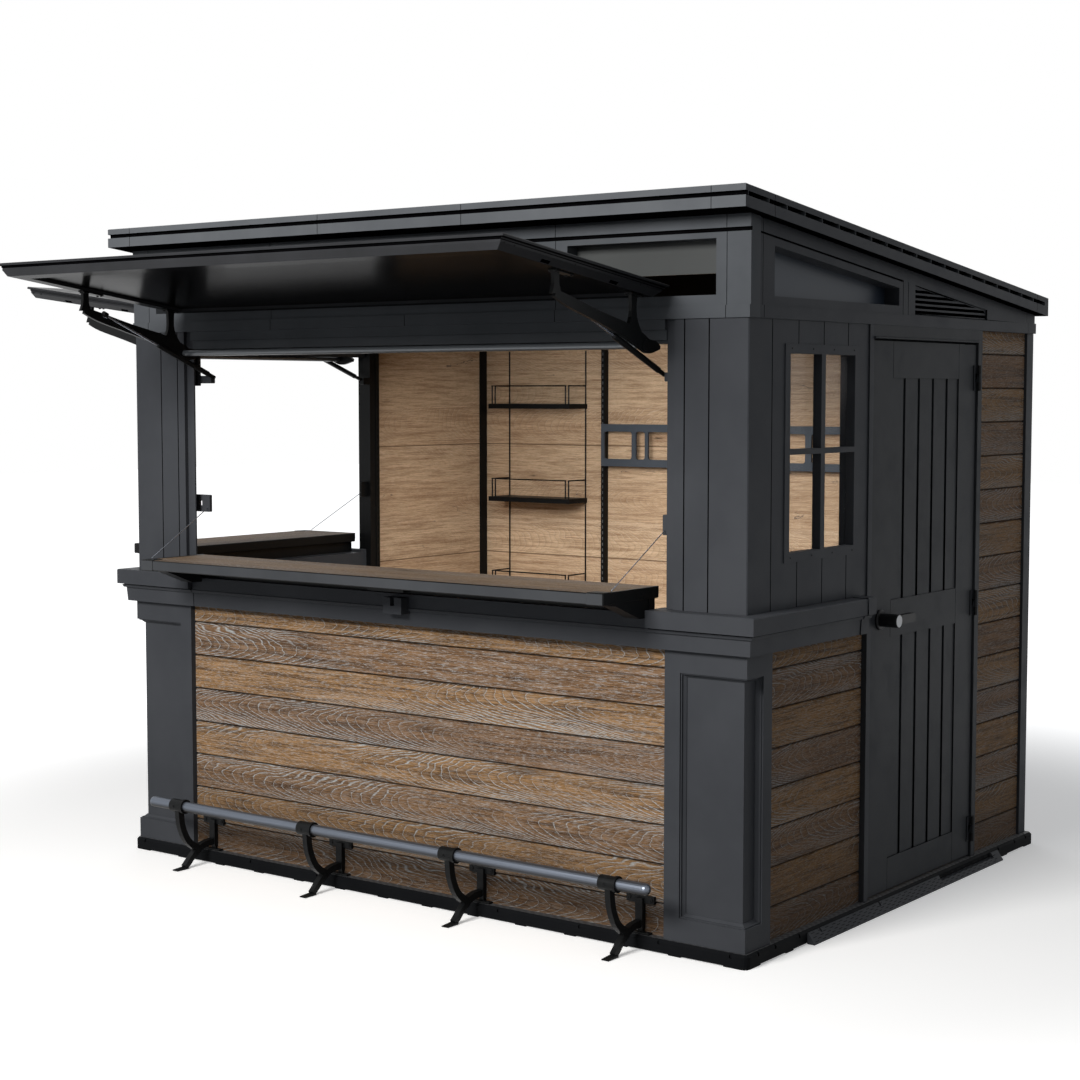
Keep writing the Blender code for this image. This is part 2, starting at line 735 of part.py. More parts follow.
def belt(look):
    """Moulded belt round three sides, with covers and thick caps wrapped on the corners."""
    inner = -WALL_INNER
    base = BELT_BOTTOM

    def moulding(more, back, top):
        return ((back, base), (BELT_FOOT_OUT + more, base),
                (BELT_FACE_OUT + more, base + BELT_FACE_UP),
                (BELT_STEP_OUT + more, base + BELT_STEP_UP),
                (BELT_LIP_OUT + more, base + BELT_LIP_UP),
                (BELT_TOP_OUT + more, base + BELT_LIP_UP + CAP_SHELL),
                (BELT_TOP_OUT + more, top), (back, top))

    def round_all(out, z):
        return [place(BASE_WIDTH + out, SIDE_WALL_END, z), place(BASE_WIDTH + out, -out, z),
                place(-out, -out, z), place(-out, LEFT_OPEN_REAR, z)]

    def right_corner(out, z):
        return [place(BASE_WIDTH + out, CAP_TO_SIDE, z), place(BASE_WIDTH + out, -out, z),
                place(BASE_WIDTH - OPEN_FROM_END - COUNTER_END, -out, z)]

    def right_side(out, z):
        return [place(BASE_WIDTH + out, SIDE_WALL_END, z),
                place(BASE_WIDTH + out, CAP_TO_SIDE - CAP_EASE, z)]

    def left_corner(out, z):
        return [place(OPEN_FROM_END + COUNTER_END, -out, z), place(-out, -out, z),
                place(-out, LEFT_OPEN_FRONT + COUNTER_END, z)]

    def left_back(out, z):
        return [place(-out, LEFT_OPEN_REAR - COUNTER_END, z), place(-out, LEFT_OPEN_REAR, z)]

    def stop(out, z):
        end = SIDE_WALL_END - BELT_STOP
        return [place(BASE_WIDTH + out, end, z), place(BASE_WIDTH + out, end - STOP_BLOCK, z)]

    def cap(more):
        return ((inner + CAP_SHELL, CAP_BOTTOM), (CAP_OUT + more, CAP_BOTTOM),
                (CAP_OUT + more, CAP_TOP + more - CAP_EASE),
                (CAP_OUT + more - CAP_EASE, CAP_TOP + more), (inner + CAP_SHELL, CAP_TOP + more))

    body = sweep("counter_belt", moulding(0.0, inner, SILL_TOP), round_all, look)
    cover = moulding(BELT_COVER, inner + CAP_SHELL, CAP_BOTTOM + CAP_EASE)
    parts = [sweep("cover", cover, line) for line in (right_corner, left_corner)]
    parts += [sweep("cap", cap(0.0), line) for line in (right_corner, left_corner, left_back)]
    parts.append(sweep("cap", cap(-CAP_SHELL), right_side))
    join(body, *parts)
    trim = box("trim", BASE_WIDTH - UPPER_INSET, BASE_WIDTH + 0.1, SIDE_WALL_END - BELT_STOP,
               SIDE_WALL_END + 0.1, BELT_BOTTOM - 0.1, CAP_TOP + 0.1)
    cut(body, trim)
    stop_face = sweep("stop", moulding(STOP_PROUD, -UPPER_INSET, CAP_BOTTOM + CAP_EASE), stop)
    stop_cap = sweep("stop", cap(STOP_PROUD - CAP_SHELL), stop)
    keep = box("cutter", BASE_WIDTH - 0.2, BASE_WIDTH - UPPER_INSET, 0.0, BASE_DEPTH,
               CAP_TOP - CAP_SHELL, CAP_TOP + 0.1)
    cut(stop_cap, keep)
    join(body, stop_face, stop_cap)
    middle = BASE_WIDTH / 2.0
    top = SILL_TOP - CATCH_DOWN
    catch = box("catch", middle - CATCH_WIDE / 2.0, middle + CATCH_WIDE / 2.0, -CATCH_OUT,
                -BELT_FOOT_OUT, top - CATCH_TALL, top)
    slot = box("cutter", middle - CATCH_SLOT / 2.0, middle + CATCH_SLOT / 2.0,
               -CATCH_OUT - 0.1, -CATCH_OUT + CATCH_SLOT, top - CATCH_TALL / 2.0, top + 0.1)
    cut(catch, slot)
    return join(body, catch)


def groove_line(start, end, places, face, along_a):
    """Points along a wall face with V grooves sunk at the given places, in plan."""
    step = GROOVE_HALF if end > start else -GROOVE_HALF
    line = [(start, 0.0)]
    for at in sorted(places, reverse=end < start):
        line += [(at - step, 0.0), (at, GROOVE_DEEP), (at + step, 0.0)]
    line.append((end, 0.0))
    if along_a:
        return [(at, face + sink) for at, sink in line]
    return [(face - sink, at) for at, sink in line]


def side_seams():
    """Places of the upright seams between the end of the front post and the door jamb."""
    seams = []
    at = SIDE_SEAM_FIRST
    while at < SIDE_WALL_END - SIDE_SEAM_PITCH / 2.0:
        seams.append(at)
        at += SIDE_SEAM_PITCH
    return seams


def right_upper_wall(look):
    """Board wall from the front opening round the corner to the door, with a window hole."""
    face = UPPER_INSET
    side_face = BASE_WIDTH - UPPER_INSET
    stop = BASE_WIDTH - OPEN_FROM_END
    post = BASE_WIDTH - POST_FACE
    behind = stop + STOP_LAP
    strip = face + STOP_SETBACK + STOP_THICK
    plan = [(behind, WALL_INNER), (behind, strip), (stop, strip), (stop, face + STOP_SETBACK),
            (post, face + STOP_SETBACK)]
    plan += groove_line(post, side_face - CORNER_EASE,
                        [BASE_WIDTH - seam for seam in FRONT_SEAMS], face, True)
    plan += groove_line(face + CORNER_EASE, SIDE_WALL_END, side_seams(), side_face, False)
    plan += [(BASE_WIDTH - WALL_INNER, SIDE_WALL_END), (BASE_WIDTH - WALL_INNER, WALL_INNER)]
    wall = upright("right_upper_wall", plan, CAP_TOP + GAP, BAND_BOTTOM - GAP, look)
    low, high = window_heights()
    hole = box("cutter", BASE_WIDTH - 0.2, BASE_WIDTH + 0.1, WINDOW_FRONT,
               SIDE_WALL_END - WINDOW_TO_JAMB, low, high)
    cut(wall, hole)
    return join(wall, *tabs(True, BASE_WIDTH - OPEN_FROM_END, -1.0, TAB_ROOT))


def window_heights():
    """Low and high edge of the side window frame."""
    return CAP_TOP + WINDOW_UP, BAND_BOTTOM - WINDOW_DOWN


def tabs(front, at, into, root):
    """Tabs behind a post that hold a gas strut and a counter stay; into is the opening's side."""

    def slab(outline, near, far, height):
        stack = [[spot(front, at + into * along, -WALL_INNER - deep, height + up)
                  for along, up in outline] for deep in (near, far)]
        return rings("tab", stack)

    made = []
    for (reach, near, far, low, high), begin, height in (
            (STRUT_TAB, root, HATCH_ROOT_Z), (STRUT_HOOK, HOOK_ROOT, HATCH_ROOT_Z),
            (STAY_TAB, root, COUNTER_TOP)):
        outline = rounded_hole(-begin, reach, low, high, TAB_ROUND)
        made.append(slab(outline, near, far, height))
    middle = (STAY_TAB[3] + STAY_TAB[4]) / 2.0
    low = middle - TAB_HOLE / 2.0
    high = middle + TAB_HOLE / 2.0
    hole = ((TAB_HOLE_IN, low), (TAB_HOLE_IN + TAB_HOLE, low), (TAB_HOLE_IN + TAB_HOLE, high),
            (TAB_HOLE_IN, high))
    cut(made[2], slab(hole, STAY_TAB[1] - 0.1, STAY_TAB[2] + 0.1, COUNTER_TOP))
    join(made[0], made[1])
    return [made[0], made[2]]


def left_upper_post(look):
    """Corner post between the two service openings."""
    face = UPPER_INSET
    stop = face + STOP_SETBACK
    strip = stop + STOP_THICK
    side_stop = LEFT_OPEN_FRONT - (OPEN_FROM_END - POST_FACE)
    side_behind = LEFT_OPEN_FRONT - STOP_LAP
    behind = OPEN_FROM_END - STOP_LAP
    plan = [(WALL_INNER, side_behind), (strip, side_behind), (strip, LEFT_OPEN_FRONT),
            (stop, LEFT_OPEN_FRONT), (stop, side_stop), (face, side_stop),
            (face, face + CORNER_EASE)]
    plan += groove_line(face + CORNER_EASE, POST_FACE, FRONT_SEAMS, face, True)
    plan += [(POST_FACE, stop), (OPEN_FROM_END, stop), (OPEN_FROM_END, strip), (behind, strip),
             (behind, WALL_INNER), (WALL_INNER, WALL_INNER)]
    post = upright("left_upper_post", plan, CAP_TOP + GAP, BAND_BOTTOM - GAP, look)
    return join(post, *tabs(True, OPEN_FROM_END, 1.0, TAB_ROOT),
                *tabs(False, LEFT_OPEN_FRONT, 1.0, TAB_ROOT))


def left_jamb_post(look):
    """Full height post behind the left opening, with a slotted standard on its inner side."""
    face = UPPER_INSET
    stop = face + STOP_SETBACK
    near = LEFT_OPEN_REAR + GAP
    stop_end = LEFT_OPEN_REAR + OPEN_FROM_END - POST_FACE
    standard = LEFT_POST_REAR - LEFT_STANDARD_WIDE
    plan = ((face, stop_end), (stop, stop_end), (stop, near), (WALL_INNER + LEFT_POST_IN, near),
            (WALL_INNER + LEFT_POST_IN, standard), (WALL_INNER + LEFT_STANDARD_IN, standard),
            (WALL_INNER + LEFT_STANDARD_IN, LEFT_POST_REAR), (face, LEFT_POST_REAR))
    post = upright("left_jamb_post", plan, BASE_HEIGHT + GAP, BAND_BOTTOM - GAP, look)
    return join(post, *tabs(False, LEFT_OPEN_REAR, -1.0, JAMB_TAB_ROOT))


def rear_post(name, right, look):
    """Rear corner post; the left one also covers the inner corner of the walls."""
    side = mirror_side(right)
    inner = REAR_INSET + REAR_POST_WIDE
    back = BASE_DEPTH - REAR_INSET
    front = back - REAR_POST_DEEP
    low = BASE_HEIGHT + GAP
    high = BAND_BOTTOM - GAP
    post = box(name, *sorted((side(REAR_INSET), side(inner))), front, back, low, high, look)
    if right:
        return post
    strip = box("strip", WALL_INNER + GAP, WALL_INNER + CORNER_STRIP_IN,
                BASE_DEPTH - WALL_INNER - CORNER_STRIP_WIDE, front + GAP, low, high)
    return join(post, strip)


def window_frame(look):
    """Side window frame with one upright bar and one cross bar, and a pocket for the glass."""
    face = BASE_WIDTH - UPPER_INSET + WINDOW_PROUD
    back = BASE_WIDTH - WALL_INNER
    bottom, top = window_heights()
    rear = SIDE_WALL_END - WINDOW_TO_JAMB
    frame = box("side_window_frame", back, face, WINDOW_FRONT + GAP, rear - GAP, bottom + GAP,
                top - GAP, look)
    near = WINDOW_FRONT + WINDOW_RAIL
    far = rear - WINDOW_RAIL
    low = bottom + WINDOW_RAIL
    high = top - WINDOW_RAIL
    mullion = (near + far) / 2.0
    muntin = bottom + MUNTIN_UP
    holes = []
    for b0, b1 in ((near, mullion - MULLION_WIDE / 2.0), (mullion + MULLION_WIDE / 2.0, far)):
        for z0, z1 in ((low, muntin - MUNTIN_WIDE / 2.0), (muntin + MUNTIN_WIDE / 2.0, high)):
            holes.append(box("cutter", back - 0.1, face + 0.1, b0, b1, z0, z1))
    cut(frame, *holes)
    pocket = box("cutter", back - 0.1, face - GLASS_BEHIND, near - GLASS_LAP, far + GLASS_LAP,
                 low - GLASS_LAP, high + GLASS_LAP)
    return cut(frame, pocket)


def window_glass(look):
    face = BASE_WIDTH - UPPER_INSET + WINDOW_PROUD - GLASS_BEHIND - GAP
    bottom, top = window_heights()
    edge = WINDOW_RAIL - GLASS_LAP + GAP
    return box("side_window_glass", face - GLASS_THICK, face, WINDOW_FRONT + edge,
               SIDE_WALL_END - WINDOW_TO_JAMB - edge, bottom + edge, top - edge, look)


def door_jambs(look):
    """Jambs and head round the doorway, with stops behind the door and a drip lip over it."""
    inner = BASE_WIDTH - WALL_INNER
    face = BASE_WIDTH - JAMB_FACE
    low = BASE_HEIGHT + GAP
    high = BAND_BOTTOM - GAP
    near = DOOR_FRONT - DOOR_EDGE_GAP
    far = DOOR_REAR + DOOR_GAP
    front_jamb = box("door_jamb_front", inner, face, SIDE_WALL_END + GAP, near, low, high, look)
    rear_jamb = box("door_jamb_rear", inner, face, far, JAMB_END, low, high, look)
    under = DOOR_TOP + DOOR_GAP
    head = box("door_head", inner, face, near + GAP, far - GAP, under, high, look)
    stop_back = inner - DOOR_STOP_IN
    stop_face = BASE_WIDTH - DOOR_FACE - DOOR_THICK - DOOR_GAP
    edge = DOOR_FRONT + DOOR_STOP_LAP
    join(front_jamb, box("stop", stop_back, stop_face, near - JAMB_WIDE / 2.0, edge,
                         low + GAP, under - GAP))
    join(rear_jamb, box("stop", stop_back, stop_face, DOOR_REAR - DOOR_STOP_LAP,
                        far + REAR_JAMB_WIDE / 2.0, low + GAP, under - GAP))
    join(head, box("stop", stop_back, stop_face, edge + GAP, DOOR_REAR - DOOR_STOP_LAP - GAP,
                   DOOR_TOP - DOOR_STOP_LAP, under + DOOR_HEAD_TALL / 3.0))
    lip = under + DRIP_UP
    section = ((face - DRIP_OUT, lip), (face + DRIP_OUT, lip),
               (face + DRIP_OUT, lip + DRIP_TALL / 2.0), (face - DRIP_OUT, lip + DRIP_TALL))
    return join(head, across_y("drip", section, near + GAP, far - GAP))


def hinge_heights():
    """Middle heights of the three hinges."""
    return (DOOR_BOTTOM + HINGE_FROM_BOTTOM, DOOR_BOTTOM + MID_RAIL_AT,
            DOOR_TOP - HINGE_FROM_TOP)


def hinge_spot(z):
    return place(BASE_WIDTH - HINGE_OUT, DOOR_REAR + HINGE_BEHIND, z)


def door_leaf(look):
    """Door with two sunk fields of upright boards, and the knuckles of its hinges."""
    face = BASE_WIDTH - DOOR_FACE
    leaf = box("door_leaf", face - DOOR_THICK, face, DOOR_FRONT, DOOR_REAR, DOOR_BOTTOM, DOOR_TOP,
               look)
    near = DOOR_FRONT + FRONT_STILE
    far = DOOR_REAR - REAR_STILE
    middle = DOOR_BOTTOM + MID_RAIL_AT
    fields = ((DOOR_BOTTOM + LOW_RAIL, middle - MID_RAIL / 2.0),
              (middle + MID_RAIL / 2.0, DOOR_TOP - TOP_RAIL))
    pitch = (far - near - 2.0 * EDGE_BOARD) / (DOOR_BOARDS - 2)
    out = face + 0.1
    half = DOOR_GROOVE_WIDE / 2.0
    cutters = []
    for low, high in fields:
        cutters.append(box("cutter", face - DOOR_FIELD_DEEP, out, near, far, low, high))
        for index in range(DOOR_BOARDS - 1):
            at = near + EDGE_BOARD + pitch * index
            cutters.append(box("cutter", face - DOOR_GROOVE_DEEP, out, at - half, at + half, low,
                               high))
    rails = ((DOOR_BOTTOM - 0.01, fields[0][0] - GAP), (fields[0][1] + GAP, fields[1][0] - GAP),
             (fields[1][1] + GAP, DOOR_TOP + 0.01))
    for low, high in rails:
        for at in (near, far):
            cutters.append(box("cutter", face - DOOR_SEAM_DEEP, out, at - DOOR_SEAM_WIDE / 2.0,
                               at + DOOR_SEAM_WIDE / 2.0, low, high))
    cut(leaf, *cutters)
    parts = []
    bores = []
    hinge_a = BASE_WIDTH - HINGE_OUT
    hinge_b = DOOR_REAR + HINGE_BEHIND
    for height in hinge_heights():
        low = height - HINGE_TALL / 6.0 + PIN_PLAY
        high = height + HINGE_TALL / 6.0 - PIN_PLAY
        parts.append(bar("knuckle", hinge_spot(low), hinge_spot(high), HINGE_RADIUS))
        parts.append(box("web", face - HINGE_LEAF, hinge_a - PIN_PLAY - HINGE_PIN / 2.0,
                         hinge_b - HINGE_RADIUS - HINGE_PIN, hinge_b - HINGE_BEHIND, low, high))
        parts.append(box("leaf", face - HINGE_LEAF, face + HINGE_LEAF,
                         DOOR_REAR - HINGE_LEAF_WIDE - HINGE_RADIUS, DOOR_REAR - 2.0 * GAP,
                         height - HINGE_TALL / 2.0, height + HINGE_TALL / 2.0))
        bore = (HINGE_PIN + PIN_PLAY) / math.cos(math.radians(15.0))
        bores.append(bar("cutter", hinge_spot(low - 0.01), hinge_spot(high + 0.01), bore))
    join(leaf, *parts)
    cut(leaf, *bores)
    return set_origin(leaf, hinge_spot(0.0))


def door_hinges(look):
    """Three hinges: a barrel on the door's turning line with a leaf on the jamb."""
    hinge_b = DOOR_REAR + HINGE_BEHIND
    seat = BASE_WIDTH - JAMB_FACE + GAP
    third = HINGE_TALL / 3.0
    profile = ((0.0, HINGE_RADIUS), (third, HINGE_RADIUS), (third, HINGE_PIN),
               (2.0 * third, HINGE_PIN), (2.0 * third, HINGE_RADIUS), (HINGE_TALL, HINGE_RADIUS))
    for name, height in zip(("door_hinge_low", "door_hinge_middle", "door_hinge_high"),
                            hinge_heights()):
        low = height - HINGE_TALL / 2.0
        high = height + HINGE_TALL / 2.0
        barrel = turned(name, hinge_spot(low), hinge_spot(high), profile, look, 12)
        parts = [box("leaf", seat, seat + HINGE_LEAF, hinge_b + HINGE_RADIUS + PIN_PLAY,
                     hinge_b + HINGE_RADIUS + HINGE_LEAF_WIDE, low, high)]
        for z0, z1 in ((low, low + third), (high - third, high)):
            parts.append(box("web", seat, seat + HINGE_LEAF, hinge_b,
                             hinge_b + HINGE_RADIUS + 2.0 * PIN_PLAY, z0, z1))
        join(barrel, *parts)


def door_handle(look):
    """Round rose, long neck and a lever that points to the hinges."""
    face = BASE_WIDTH - DOOR_FACE + GAP
    b = DOOR_FRONT + HANDLE_FROM_EDGE
    z = DOOR_BOTTOM + MID_RAIL_AT + HANDLE_UP
    profile = ((0.0, ROSE_RADIUS), (ROSE_THICK * 0.7, ROSE_RADIUS),
               (ROSE_THICK, ROSE_RADIUS * 0.92), (ROSE_THICK, NECK_RADIUS),
               (NECK_LONG, NECK_RADIUS), (NECK_LONG + 0.002, NECK_RADIUS * 0.91))
    handle = turned("door_handle", place(face, b, z), place(face + 1.0, b, z), profile, look, 20)
    outer = face + NECK_LONG - LEVER_SETBACK
    ease = LEVER_TALL / 3.0
    end = b + LEVER_LONG
    outline = ((b, z - LEVER_TALL / 2.0), (end - ease, z - LEVER_TALL / 2.0),
               (end, z - LEVER_TALL / 2.0 + ease), (end, z + LEVER_TALL / 2.0 - ease),
               (end - ease, z + LEVER_TALL / 2.0), (b, z + LEVER_TALL / 2.0))
    join(handle, across_x("lever", outline, outer - LEVER_THICK, outer))
    return set_origin(handle, hinge_spot(0.0))


def header(name, front, look):
    """Stepped strips under the band, over one service opening."""
    bottom = BAND_BOTTOM - HEADER_TALL
    (first_down, first_in), (second_down, second_in) = HEADER_STEPS
    section = ((-WALL_INNER, bottom), (-UPPER_INSET - second_in, bottom),
               (-UPPER_INSET - second_in, BAND_BOTTOM - second_down),
               (-UPPER_INSET - first_in, BAND_BOTTOM - second_down),
               (-UPPER_INSET - first_in, BAND_BOTTOM - first_down),
               (-UPPER_INSET, BAND_BOTTOM - first_down), (-UPPER_INSET, BAND_BOTTOM - GAP),
               (-WALL_INNER, BAND_BOTTOM - GAP))
    if front:
        return plate(name, True, section, OPEN_FROM_END + GAP, BASE_WIDTH - OPEN_FROM_END - GAP,
                     look)
    return plate(name, False, section, LEFT_OPEN_FRONT + GAP, LEFT_OPEN_REAR, look)


def frieze(look):
    """Front wall above the band, with a long low window at each end."""
    face = UPPER_INSET
    proud = face - FRIEZE_PROUD
    top = roof_under(proud) - GAP
    line = roof_under(0.0) - FRIEZE_STRIP
    section = ((WALL_INNER, BAND_BOTTOM), (BAND_INSET, BAND_BOTTOM), (BAND_INSET, BAND_TOP),
               (face, BAND_TOP), (face, line - FRIEZE_GROOVE),
               (face + FRIEZE_GROOVE_DEEP, line - FRIEZE_GROOVE),
               (face + FRIEZE_GROOVE_DEEP, line), (proud, line), (proud, top),
               (WALL_INNER, roof_under(WALL_INNER) - GAP))
    wall = across_x("front_frieze", section, BAND_INSET, BASE_WIDTH - BAND_INSET, look)
    low = BAND_TOP + HIGH_UP
    high = roof_under(0.0) - HIGH_BELOW_ROOF
    far = HIGH_FROM_END + HIGH_WIDE
    holes = [box("cutter", a0, a1, -0.1, 0.2, low, high)
             for a0, a1 in ((HIGH_FROM_END, far), (BASE_WIDTH - far, BASE_WIDTH - HIGH_FROM_END))]
    tall = band_seam(roof_under(0.0) + 0.1)
    for at in (END_SEAM, HIGH_SEAM, BASE_WIDTH - HIGH_SEAM, BASE_WIDTH - END_SEAM):
        holes.append(across_x("cutter", tall, at - WALL_SEAM / 2.0, at + WALL_SEAM / 2.0))
    middle = BASE_WIDTH / 2.0
    holes.append(box("cutter", middle - WALL_SEAM / 2.0, middle + WALL_SEAM / 2.0, -0.1,
                     BAND_INSET + SEAM_SINK, BAND_BOTTOM - 0.1, BAND_TOP + 0.1))
    return cut(wall, *holes)


def band_seam(high):
    """Outline of a thin upright seam across the band and the wall above it, in (depth, z)."""
    step = BAND_TOP - SEAM_SINK
    return ((-0.1, BAND_BOTTOM - 0.1), (BAND_INSET + SEAM_SINK, BAND_BOTTOM - 0.1),
            (BAND_INSET + SEAM_SINK, step), (UPPER_INSET + SEAM_SINK, step),
            (UPPER_INSET + SEAM_SINK, high), (-0.1, high))


def high_panes(look):
    """Strip behind the front wall that closes the upper part of both low windows."""
    edge = HIGH_FROM_END - PANE_LAP
    return box("front_high_panes", edge, BASE_WIDTH - edge, WALL_INNER + GAP,
               WALL_INNER + PANE_THICK, BAND_TOP + HIGH_PANE_UP,
               roof_under(0.0) - HIGH_BELOW_ROOF + PANE_LAP / 2.0, look)


def gable_band(low, below_roof, front, rear):
    """A four-sided outline of (b, z) with a flat bottom and a top that follows the roof."""
    return ((front, low), (rear, low), (rear, roof_under(rear) - below_roof),
            (front, roof_under(front) - below_roof))


def gable(name, right, look):
    """Side wall above the band: a low window, and a slatted vent towards the back."""
    side = mirror_side(right)

    def slab(label, outline, start, end, dress=None):
        low, high = sorted((side(start), side(end)))
        return across_x(label, outline, low, high, dress)

    front = WALL_INNER + GAP
    back = BASE_DEPTH - REAR_INSET
    wall = slab(name, gable_band(BAND_BOTTOM, GAP, front, back), UPPER_INSET, WALL_INNER, look)
    rail = ((front, BAND_BOTTOM), (back, BAND_BOTTOM), (back, BAND_TOP), (front, BAND_TOP))
    join(wall, slab("rail", rail, BAND_INSET, WALL_INNER - 0.01))
    deep = UPPER_INSET + GABLE_GROOVE_DEEP
    strip = ((front - 0.1, roof_under(front - 0.1) - FRIEZE_STRIP - GABLE_GROOVE),
             (GABLE_LINE_END, roof_under(GABLE_LINE_END) - FRIEZE_STRIP - GABLE_GROOVE),
             (GABLE_LINE_END, roof_under(GABLE_LINE_END) - FRIEZE_STRIP),
             (front - 0.1, roof_under(front - 0.1) - FRIEZE_STRIP))
    cutters = [slab("cutter", strip, -0.1, deep)]
    for at in (GABLE_LINE_END, GABLE_LINE_END + GABLE_EDGE_WIDE):
        high = roof_under(at) - FRIEZE_STRIP - GAP
        line = ((at, BAND_TOP + GAP), (at + GABLE_GROOVE / 2.0, BAND_TOP + GAP),
                (at + GABLE_GROOVE / 2.0, high), (at, high))
        cutters.append(slab("cutter", line, -0.1, deep))
    cutters.append(slab("cutter", gable_band(BAND_TOP + GABLE_WINDOW_UP, GABLE_WINDOW_BELOW_ROOF,
                                             GABLE_WINDOW_FRONT, GABLE_WINDOW_REAR), -0.1, 0.2))
    rear = min(VENT_REAR, (FRONT_RISE - VENT_BELOW_ROOF - 2.0 * VENT_SLOT) / ROOF_FALL)
    cutters.append(slab("cutter", gable_band(BAND_TOP + VENT_UP, VENT_BELOW_ROOF, VENT_FRONT,
                                             rear), -0.1, UPPER_INSET + VENT_POCKET))
    for at in (END_SEAM, BASE_DEPTH - END_SEAM):
        stack = [[place(side(depth), at + half, z) for depth, z in band_seam(roof_under(0.0))]
                 for half in (-WALL_SEAM / 2.0, WALL_SEAM / 2.0)]
        cutters.append(rings("cutter", stack))
    near = VENT_FRONT + VENT_EDGE
    ceiling = roof_under(near) - VENT_BELOW_ROOF - VENT_EDGE
    low = BAND_TOP + VENT_UP + VENT_EDGE
    while low + VENT_SLOT < ceiling:
        reach = [min(rear - VENT_EDGE, near + (ceiling - z) / ROOF_FALL)
                 for z in (low, low + VENT_SLOT)]
        if reach[1] - near > VENT_SHORTEST:
            slot = ((near, low), (reach[0], low), (reach[1], low + VENT_SLOT),
                    (near, low + VENT_SLOT))
            cutters.append(slab("cutter", slot, -0.1, UPPER_INSET + VENT_DEEP))
        low += VENT_PITCH
    return cut(wall, *cutters)


def gable_pane(name, right, look):
    side = mirror_side(right)
    outline = gable_band(BAND_TOP + GABLE_WINDOW_UP - PANE_LAP / 2.0,
                         GABLE_WINDOW_BELOW_ROOF - PANE_LAP / 2.0,
                         GABLE_WINDOW_FRONT - PANE_LAP, GABLE_WINDOW_REAR + PANE_LAP)
    low, high = sorted((side(WALL_INNER + GAP), side(WALL_INNER + PANE_THICK)))
    return across_x(name, outline, low, high, look)


def roof(look):
    """Sloping roof slab: a groove along its front edge and a row of slots in each side edge."""
    near = -ROOF_FRONT_OVER
    far = BASE_DEPTH + ROOF_REAR_OVER
    stack = []
    for inset, down in ((ROOF_EASE, 0.0), (0.0, ROOF_EASE), (0.0, ROOF_THICK)):
        low = -ROOF_SIDE_OVER + inset
        high = BASE_WIDTH + ROOF_SIDE_OVER - inset
        stack.append([place(a, b, roof_top(b) - down) for a, b in
                      ((low, near + inset), (high, near + inset), (high, far - inset),
                       (low, far - inset))])
    slab = rings("roof", stack, look)

    def slot(start, end):
        return ((start, roof_top(start) - ROOF_STRIP), (end, roof_top(end) - ROOF_STRIP),
                (end, roof_top(end) - ROOF_STRIP - ROOF_GROOVE),
                (start, roof_top(start) - ROOF_STRIP - ROOF_GROOVE))

    cutters = [across_x("cutter", slot(near - 0.1, near + ROOF_GROOVE_DEEP), -0.2,
                        BASE_WIDTH + 0.2)]
    start = near + ROOF_GROOVE_DEEP + SLOT_FIN
    fin = SLOT_FIRST
    while start < far - SLOT_END:
        end = min(fin - SLOT_FIN / 2.0, far - SLOT_END)
        if end - start > SLOT_FIN:
            for a0, a1 in ((-0.2, SLOT_DEEP - ROOF_SIDE_OVER),
                           (BASE_WIDTH + ROOF_SIDE_OVER - SLOT_DEEP, BASE_WIDTH + 0.2)):
                cutters.append(across_x("cutter", slot(start, end), a0, a1))
        start = fin + SLOT_FIN / 2.0
        fin += SLOT_PITCH
    half = WALL_SEAM / 2.0
    for at in (END_SEAM, FASCIA_SEAM, BASE_WIDTH - FASCIA_SEAM, BASE_WIDTH - END_SEAM):
        cutters.append(box("cutter", at - half, at + half, near - 0.1, near + SEAM_SINK,
                           roof_under(near) - 0.1, roof_top(near) + 0.1))
    for at in (END_SEAM, BASE_DEPTH - END_SEAM):
        for a0, a1 in ((-0.2, SEAM_SINK - ROOF_SIDE_OVER),
                       (BASE_WIDTH + ROOF_SIDE_OVER - SEAM_SINK, BASE_WIDTH + 0.2)):
            cutters.append(box("cutter", a0, a1, at - half, at + half, roof_under(at) - 0.1,
                               roof_top(at) + 0.1))
    return cut(slab, *cutters)


def hatch_point(along, out, up, front):
    """A point of a hatch: along its width, outwards along its slope and square to its face."""
    away = HATCH_ROOT_OUT + out * math.cos(HATCH_TILT) - up * math.sin(HATCH_TILT)
    height = HATCH_ROOT_Z + out * math.sin(HATCH_TILT) + up * math.cos(HATCH_TILT)
    return spot(front, along, away, height)


def hatch_under(away):
    """Height of a hatch's lower face at a distance outside the base edge."""
    return HATCH_ROOT_Z + (away - HATCH_ROOT_OUT) * math.tan(HATCH_TILT)


